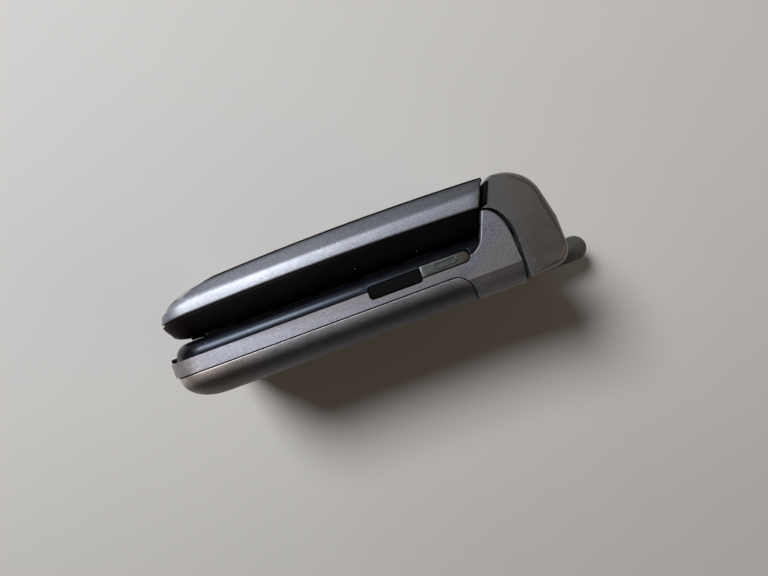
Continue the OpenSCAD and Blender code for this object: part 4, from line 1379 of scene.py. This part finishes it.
        rings = [ring(-0.05, BAND_Y - 1), ring(-0.05, BASE_T - size - 0.15), ring(0.0, BASE_T - size + 0.05)]
        for turn in map(math.radians, self.rim_turns):
            rings.append(ring(size * (1 - math.cos(turn)), BASE_T + 0.004 - size * (1 - math.sin(turn))))
        rings += [ring(size, BASE_T + 0.004), ring(size + 0.1, BASE_T + 1)]
        space = Form.slab(100, 60, 1, 7.5).face_to(Facing.FRONT, 30, BASE_T - 3.5, MID_Z)
        space.carve(Form.through_rings(rings, capped=True))
        cover = Form.copy_of("keypad_cover").carve(space)
        cover.finish("keypad_gloss", "base", Paint.BLACK_GLOSS, "black_gloss", ["keypad_cover"], crease=24,
                     even=True)

    def side_parts(self) -> None:
        """Side key, headset cover and volume key."""
        for node, paint, slot in (("side_key", Paint.WORN_KEY, "key_silver"),
                                  ("headset_cover", Paint.RUBBER, "rubber"),
                                  ("volume_key", Paint.WORN_KEY, "key_silver")):
            part = Form.copy_of(node)
            part.round_edges(0.25, 40, 3, lambda e: all(v.co.z > WIDTH - 0.02 for v in e.verts)
                             or all(v.co.z < 0.16 for v in e.verts))
            if node == "side_key":
                part.join(Form.loop(*self.key_loop).face_to(Facing.SIDE, 59.4, 9.25, WIDTH - 0.15), 1)
                # A small steel bead at the loop's end stands in for the highlight there: a painted highlight.
                highlight_bead = Form.disc(0.22, 0.16, 0.08, sides=20).face_to(Facing.SIDE, 61.55, 9.6, WIDTH - 0.1)
                part.join(highlight_bead, 2)
            elif node == "volume_key":
                for x in (48.0, 55.0):
                    part.join(Form.loop(*self.volume_loop).face_to(Facing.LEFT, x, 8.75, 0.2))
            else:
                part.join(Form.slab(*self.lip).face_to(Facing.SIDE, 44.4, 8.75, WIDTH - 0.12))
            part.finish(f"{node}_cap", node, paint, slot, [node], more=(Paint.DARK_PART, Paint.STEEL),
                        even=True)

    def chin_parts(self) -> None:
        """Rubber connector cover, the battery latch and the rubber strip across the chin."""
        for node, paint, slot in (("connector_cover", Paint.PALE_RUBBER, "pale_rubber"),
                                  ("battery_latch", Paint.LID_BLACK, "black_matte")):
            part = Form.copy_of(node)
            front = part.span(0)[0]
            part.round_edges(0.25, 40, 3, lambda e: all(v.co.x < front + 0.05 for v in e.verts))
            if node == "battery_latch":
                for step in range(-3, 4):
                    rib = Form.slab(*self.latch_rib)
                    part.join(rib.face_to(Facing.CHIN, front + 0.05, 4.1, MID_Z + 0.7 * step))
            else:
                part.join(Form.loop(*self.cover_loop).face_to(Facing.CHIN, front + 0.04, 7.55, MID_Z))
            part.finish(f"{node}_cap", node, paint, slot, [node], even=True)
        stop = Form.slab(*self.chin_stop).face_to(Facing.CHIN, 1.7, 9.58, MID_Z)
        stop.finish("chin_stop", "base", Paint.RUBBER, "rubber")


@dataclass
class HingeEnd:
    """The hinge cap with its big soft edges, black strips of painted shade in the gap beside it, and the
    antenna stub.
    """

    edge: float = 3.0
    steps: tuple[float, ...] = (0.02, 0.06, 0.12, 0.2, 0.34, 0.55, 0.85, 1.2, 1.6, 2.1, 2.5, 3.0)
    middles: tuple[float, ...] = (8.0, 15.0, MID_Z, 30.0, 37.0)
    least_share: float = 0.1
    heart: Point = (79.0, 12.0)
    play: float = 0.3
    reach: float = 7.75
    # Top of the black strips of painted shade in the gap at the lid's end.
    gap_shade_high: float = 21.7
    stub: tuple[float, float, float] = (1.6, 8.0, 3.2)
    stub_length: float = 15.3
    stub_inside: float = 5.0

    def build(self) -> None:
        """Makes the cap, the strips of painted shade beside it and the antenna."""
        self.cap()
        self.gap_shade()
        self.antenna()

    def outline(self) -> list[tuple[Point, float]]:
        """Draws the cap's side view.

        Returns:
            Its points, each with its share of the rounding: little where the lid and the ear stand close.
        """
        low, least = SPLIT_Y - 0.35, self.least_share
        front = [(end_at(low) + 1.5, low), (end_at(19.0) + 1.4, 19.0), (end_at(20.6) + 1.3, 20.6),
                 (end_at(22.2) + 1.2, 22.2)]
        crown = [(end_at(22.2) + 1.45, CROWN_Y - 1.12), (end_at(22.2) + 2.1, CROWN_Y - 0.94)]
        crown += arc(BODY_LEN - 9, CROWN_Y - 9.05, 7.85, 8.05, 88, 12, 16)
        under = arc(BODY_LEN - 3.5, 4.5, 3.5, 3.5, 0, -90, 8)
        under += [(EAR_X + 4.6, 0.9), (EAR_X + 2.8, 0.8), (EAR_X + 1.5, 0.75), (EAR_X + 0.65, 0.75)]
        by_ear = arc(EAR_X - 4.2, BAND_Y, 4.8, SPLIT_Y - 0.75 - BAND_Y, 86, 0, 8)[::-1]
        last = len(under) - 1
        outline = [(place, least) for place in front]
        outline += [(place, min(1.0, 0.12 + 0.11 * step)) for step, place in enumerate(crown)]
        outline += [((BODY_LEN, 10.5), 1.0), ((BODY_LEN, 6.5), 1.0)]
        outline += [(place, min(1.0, least + 0.12 * (last - step))) for step, place in enumerate(under)]
        return outline + [(place, least) for place in by_ear]

    def cap(self) -> None:
        """Taupe cap, rounded towards both sides of the phone and hollow where the lid's barrel turns."""
        edge, heart = self.edge, Vector(self.heart)
        ends = [(z, edge - math.sqrt(max(0.0, edge ** 2 - (edge - z) ** 2))) for z in self.steps]
        levels = ends + [(z, 0.0) for z in self.middles] + [(WIDTH - z, drawn) for z, drawn in reversed(ends)]
        rings: list[Ring] = []
        for z, drawn in levels:
            ring: Ring = []
            for (x, y), share in self.outline():
                inward = (heart - Vector((x, y))).normalized() * drawn * share
                ring.append(Vector((x + inward.x, y + inward.y, z)))
            rings.append(ring)
        low, high, reach = BARREL_Z0 - self.play, BARREL_Z1 + self.play, self.reach
        trough = Form.disc(BARREL_R + self.play, BARREL_Z1 - BARREL_Z0 + 2 * self.play, sides=72)
        trough.face_to(Facing.SIDE, AXIS_X, AXIS_Y, low)
        swept = [(0.0, 0.0), (2.7, -3.6), (reach, -0.2)] + arc(0, 0, reach, reach, 2, 200, 16)
        way = prism([(AXIS_X + x, AXIS_Y + y) for x, y in swept], low, high)
        hollow = Form.slab(11.0, 42.2, 0.5, 9.4).face_to(Facing.REAR, 76.0, 11.6, MID_Z)
        cap = Form.through_rings(rings, capped=True).carve(trough).carve(way).carve(hollow)
        y, z, radius = self.stub
        collar = Form.disc(radius + 0.25, 5.8, 0.3).face_to(Facing.SIDE, 0, 0, 0)
        collar.move(Matrix.Translation((BODY_LEN - 5.5, y, z)) @ Matrix.Rotation(math.radians(90), 4, "Y"))
        cap.join(collar)
        cap.finish("hinge_cap_shell", "base", Paint.CAP_TAUPE, "taupe", ["hinge_cap"], crease=50, even=True)

    def gap_shade(self) -> None:
        """Black strips of painted shade in the gap between the lid's end and the cap, at both cheeks."""
        low, high = SPLIT_Y - 0.2, self.gap_shade_high
        strip = [(end_at(low) + 0.7, low), (end_at(low) + 1.75, low), (end_at(high) + 1.45, high),
                 (end_at(high) + 0.7, high)]
        gap_shade = prism(strip, 0.5, BARREL_Z0 - 0.4).join(prism(strip, BARREL_Z1 + 0.4, WIDTH - 0.5))
        gap_shade.round_edges(0.12, 40, 2)
        gap_shade.finish("hinge_gap_shade", "base", Paint.RUBBER, "rubber")

    def antenna(self) -> None:
        """Stub antenna: a spun form with a moulding line and a round tip."""
        y, z, radius = self.stub
        length, inside, neck = self.stub_length, -self.stub_inside, 2.0
        line: list[Point] = [(inside, neck), (0.0, neck), (0.02, radius - 0.2), (0.18, radius), (6.2, radius),
                             (6.3, radius - 0.07), (6.45, radius - 0.07), (6.55, radius)]
        for turn in map(math.radians, range(0, 90, 9)):
            line.append((length - radius + radius * math.sin(turn), radius * math.cos(turn)))
        form = Form()
        bm = form.bm
        points = [bm.verts.new((x, r, 0)) for x, r in line] + [bm.verts.new((length, 0, 0))]
        for pair in zip(points, points[1:]):
            bm.edges.new(pair)
        bm.edges.new((points[0], bm.verts.new((inside, 0, 0))))
        bmesh.ops.spin(bm, geom=bm.verts[:] + bm.edges[:], axis=(1, 0, 0), cent=(0, 0, 0), angle=math.tau,
                       steps=56, use_merge=True)
        bmesh.ops.remove_doubles(bm, verts=bm.verts, dist=0.001)
        bmesh.ops.recalc_face_normals(bm, faces=bm.faces)
        form.move(Matrix.Translation((BODY_LEN + 0.3, y, z)))
        form.finish("antenna_stub_shell", "base", Paint.AERIAL_GREY, "antenna_grey", ["antenna_stub"],
                    crease=40)


# ---------------------------------------------------------------- keys


@dataclass
class Keypad:
    """Key caps with their marks, the ring and the select key."""

    top: float = BASE_T + 0.3
    figure: float = 3.0
    star: float = 3.6
    arrows_at: float = 6.25
    arrow: float = 0.75

    def build(self) -> None:
        """Makes every key."""
        for name in [*"123456789", "star", "0", "hash"]:
            self.number_key(name)
        self.function_keys()
        self.navigation()

    def middle_of(self, node: str) -> Point:
        """The middle of a key's top, along and across the phone."""
        low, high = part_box(node)
        return ((low[0] + high[0]) / 2 / MM + CHIN_X, (low[2] + high[2]) / 2 / MM)

    def cap_of(self, node: str) -> Form:
        """A key's merged copy with rounded upper edges."""
        low = self.top - 0.12
        return Form.copy_of(node).round_edges(0.24, 40, 3, lambda e: all(v.co.y > low for v in e.verts))

    def number_key(self, name: str) -> None:
        """Makes one number key with its printed figure.

        Args:
            name: The figure, or star or hash.
        """
        node = f"key_{name}"
        x, z = self.middle_of(node)
        cap = self.cap_of(node)
        size = self.star if name == "star" else self.figure
        figure = Form.mark({"star": "*", "hash": "#"}.get(name, name), size)
        cap.join(figure.face_to(Facing.READING, x, self.top - PRINT_SUNK, z), 1)
        cap.finish(f"{node}_cap", node, Paint.KEY_CAP, "key_pale", [node], more=(Paint.KEY_INK,), even=True)

    def function_keys(self) -> None:
        """Soft keys with a dash each, and the green and red call keys with a handset, tilted or flat."""
        for node, paint, tilt in (("soft_key_left", Paint.KEY_INK, None),
                                  ("soft_key_right", Paint.KEY_INK, None),
                                  ("send_key", Paint.CALL_GREEN, -40), ("end_key", Paint.CALL_RED, 0)):
            x, z = self.middle_of(node)
            cap = self.cap_of(node)
            if tilt is None:
                mark = Form.slab(2.6, 0.5, 0.2, PRINT_T)
            else:
                mark = Form.slab(3.0, 0.62, 0.28, PRINT_T)
                for side in (-1, 1):
                    ear = Form.slab(0.95, 1.15, 0.3, PRINT_T)
                    mark.join(ear.move(Matrix.Translation((1.1 * side, -0.42, 0))))
                mark.move(Matrix.Rotation(math.radians(tilt), 4, "Z"))
            cap.join(mark.face_to(Facing.READING, x, self.top - PRINT_SUNK, z), 1)
            cap.finish(f"{node}_cap", node, Paint.KEY_CAP, "key_pale", [node], more=(paint,), even=True)

    def navigation(self) -> None:
        """The ring with four arrows, and the select key with its dimple."""
        x, z = self.middle_of("select_key")
        ring = self.cap_of("nav_ring")
        ring_top = ring.span(1)[1]
        for turn in (0, 90, 180, 270):
            arrow = Form()
            bmesh.ops.create_circle(arrow.bm, cap_ends=True, radius=self.arrow, segments=3)
            arrow.raise_outline(PRINT_T)
            out = Matrix.Rotation(math.radians(turn), 4, "Z") @ Matrix.Translation((self.arrows_at, 0, 0))
            arrow.move(out @ Matrix.Rotation(math.radians(30), 4, "Z"))
            ring.join(arrow.face_to(Facing.READING, x, ring_top - PRINT_SUNK, z), 1)
        ring.finish("nav_ring_cap", "nav_ring", Paint.RING_SILVER, "key_silver", ["nav_ring"],
                    more=(Paint.KEY_INK,), even=True)
        select = self.cap_of("select_key")
        dimple = Form.loop(4.4, 4.4, 0.16, 0.05)
        select.join(dimple.face_to(Facing.READING, x, select.span(1)[1] - PRINT_SUNK, z), 1)
        select.finish("select_key_cap", "select_key", Paint.KEY_CAP, "key_pale", ["select_key"],
                      more=(Paint.RING_SILVER,), even=True)


# ---------------------------------------------------------------- insides


@dataclass
class Insides:
    """Modules inside the shells, which keep their CAD shapes and get their finishes here."""

    paints: dict[str, Finish] = field(default_factory=lambda: {
        "keypad_mat": Paint.RUBBER, "main_board": Paint.BOARD, "radio_shield": Paint.TIN,
        "card_holder": Paint.TIN, "subscriber_card": Paint.CARD, "battery_pack": Paint.WRAP,
        "battery_contacts": Paint.GOLD, "system_connector": Paint.DARK_PART,
        "charger_socket": Paint.DARK_PART, "headset_socket": Paint.DARK_PART, "microphone": Paint.TIN,
        "loudspeaker": Paint.DARK_PART, "vibration_motor": Paint.STEEL, "case_screws": Paint.STEEL,
        "hinge_pin": Paint.STEEL, "hinge_cam": Paint.STEEL, "main_display": Paint.SCREEN,
        "outer_display": Paint.SCREEN, "lid_board": Paint.BOARD, "camera_module": Paint.DARK_PART,
        "earpiece": Paint.DARK_PART, "hinge_bush": Paint.ACETAL, "hinge_cartridge": Paint.STEEL,
        "flex_cable": Paint.FLEX, "vibration_weight": Paint.STEEL})

    def build(self) -> None:
        """Puts each module's finish on its CAD object."""
        for node, paint in self.paints.items():
            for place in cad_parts[node].material_slots:
                place.link = "OBJECT"
                place.material = paint.build()
            log.info("%s: finish %s", node, paint.name)


# ---------------------------------------------------------------- studio


@dataclass(frozen=True)
class Lamp:
    """A soft round light; its place is given in metres by the photograph's right and up and by its height."""

    name: str
    right: float
    up: float
    height: float
    size: float
    power: float
    tone: Colour


@dataclass
class Studio:
    """Pale table, soft lights and the camera straight above the phone, as in the photograph."""

    table_tone: Colour = (0.60, 0.59, 0.575)
    table_half: float = 1.5
    table_drop: float = 0.00005
    room_tone: Colour = (1.0, 0.84, 0.66)
    room_strength: float = 0.05
    camera_mm: tuple[float, float, float] = (-2.9, -2.0, 157.5)
    turn: float = -20.2
    lens: float = 27.0
    lamps: tuple[Lamp, ...] = (
        Lamp("window_light", -0.345, 0.27, 0.6, 0.28, 5.3, (0.98, 0.985, 1.0)),
        Lamp("room_light", -0.75, 0.95, 0.42, 0.6, 1.1, (0.8, 0.88, 1.0)),
        Lamp("warm_fill", 0.85, -0.15, 0.4, 0.7, 1.0, (1.0, 0.82, 0.64)))

    def build(self) -> None:
        """Makes the table, the lights, the world and the camera."""
        self.table()
        self.lights()
        self.camera()
        bpy.context.scene.view_settings.view_transform = "Standard"

    def table(self) -> None:
        """A wide pale table top, with painted shade that makes it a little darker towards the near side."""
        bm = bmesh.new()
        bmesh.ops.create_grid(bm, x_segments=1, y_segments=1, size=self.table_half)
        bmesh.ops.translate(bm, verts=bm.verts, vec=(0, 0, -self.table_drop))
        table = _plain_object("table_top", bm)
        bm.free()
        # Painted shade: a darker tone comes in towards the near side, as the light falls off.
        darker = tuple(c * 0.8 for c in self.table_tone)
        pale = Finish("table_pale", self.table_tone, rough=0.85, mottle=0.012, mottle_size=60,
                      fades=(Fade(darker, 1, 20, -110, 0.5),))
        table.data.materials.append(pale.build())

    def lights(self) -> None:
        """One broad light above and to the upper left, two soft fills, and a plain world."""
        turn = math.radians(self.turn)
        right = Vector((math.cos(turn), math.sin(turn), 0))
        up = Vector((-math.sin(turn), math.cos(turn), 0))
        for each in self.lamps:
            data = bpy.data.lights.new(each.name, "AREA")
            data.shape, data.size, data.energy, data.color = "DISK", each.size, each.power, each.tone
            lamp = bpy.data.objects.new(each.name, data)
            lamp.location = right * each.right + up * each.up + Vector((0, 0, each.height))
            lamp.rotation_euler = (-lamp.location).to_track_quat("-Z", "Y").to_euler()
            bpy.context.scene.collection.objects.link(lamp)
        world = bpy.data.worlds.new("room")
        world.use_nodes = True
        sky = world.node_tree.nodes["Background"].inputs
        sky["Color"].default_value = (*self.room_tone, 1)
        sky["Strength"].default_value = self.room_strength
        bpy.context.scene.world = world

    def camera(self) -> None:
        """The camera at the photograph's angle."""
        data = bpy.data.cameras.new("camera")
        data.lens, data.sensor_width = self.lens, 36.0
        data.clip_start, data.clip_end = 0.01, 10.0
        eye = bpy.data.objects.new("camera", data)
        eye.location = Vector(self.camera_mm) * MM
        eye.rotation_euler = (0, 0, math.radians(self.turn))
        bpy.context.scene.collection.objects.link(eye)
        bpy.context.scene.camera = eye


def main() -> None:
    """Builds the phone part by part, then the studio."""
    for part in (Lid(), Base(), HingeEnd(), Keypad(), Insides(), Studio()):
        log.info("building %s", type(part).__name__)
        part.build()


if __name__ == "__main__":
    main()
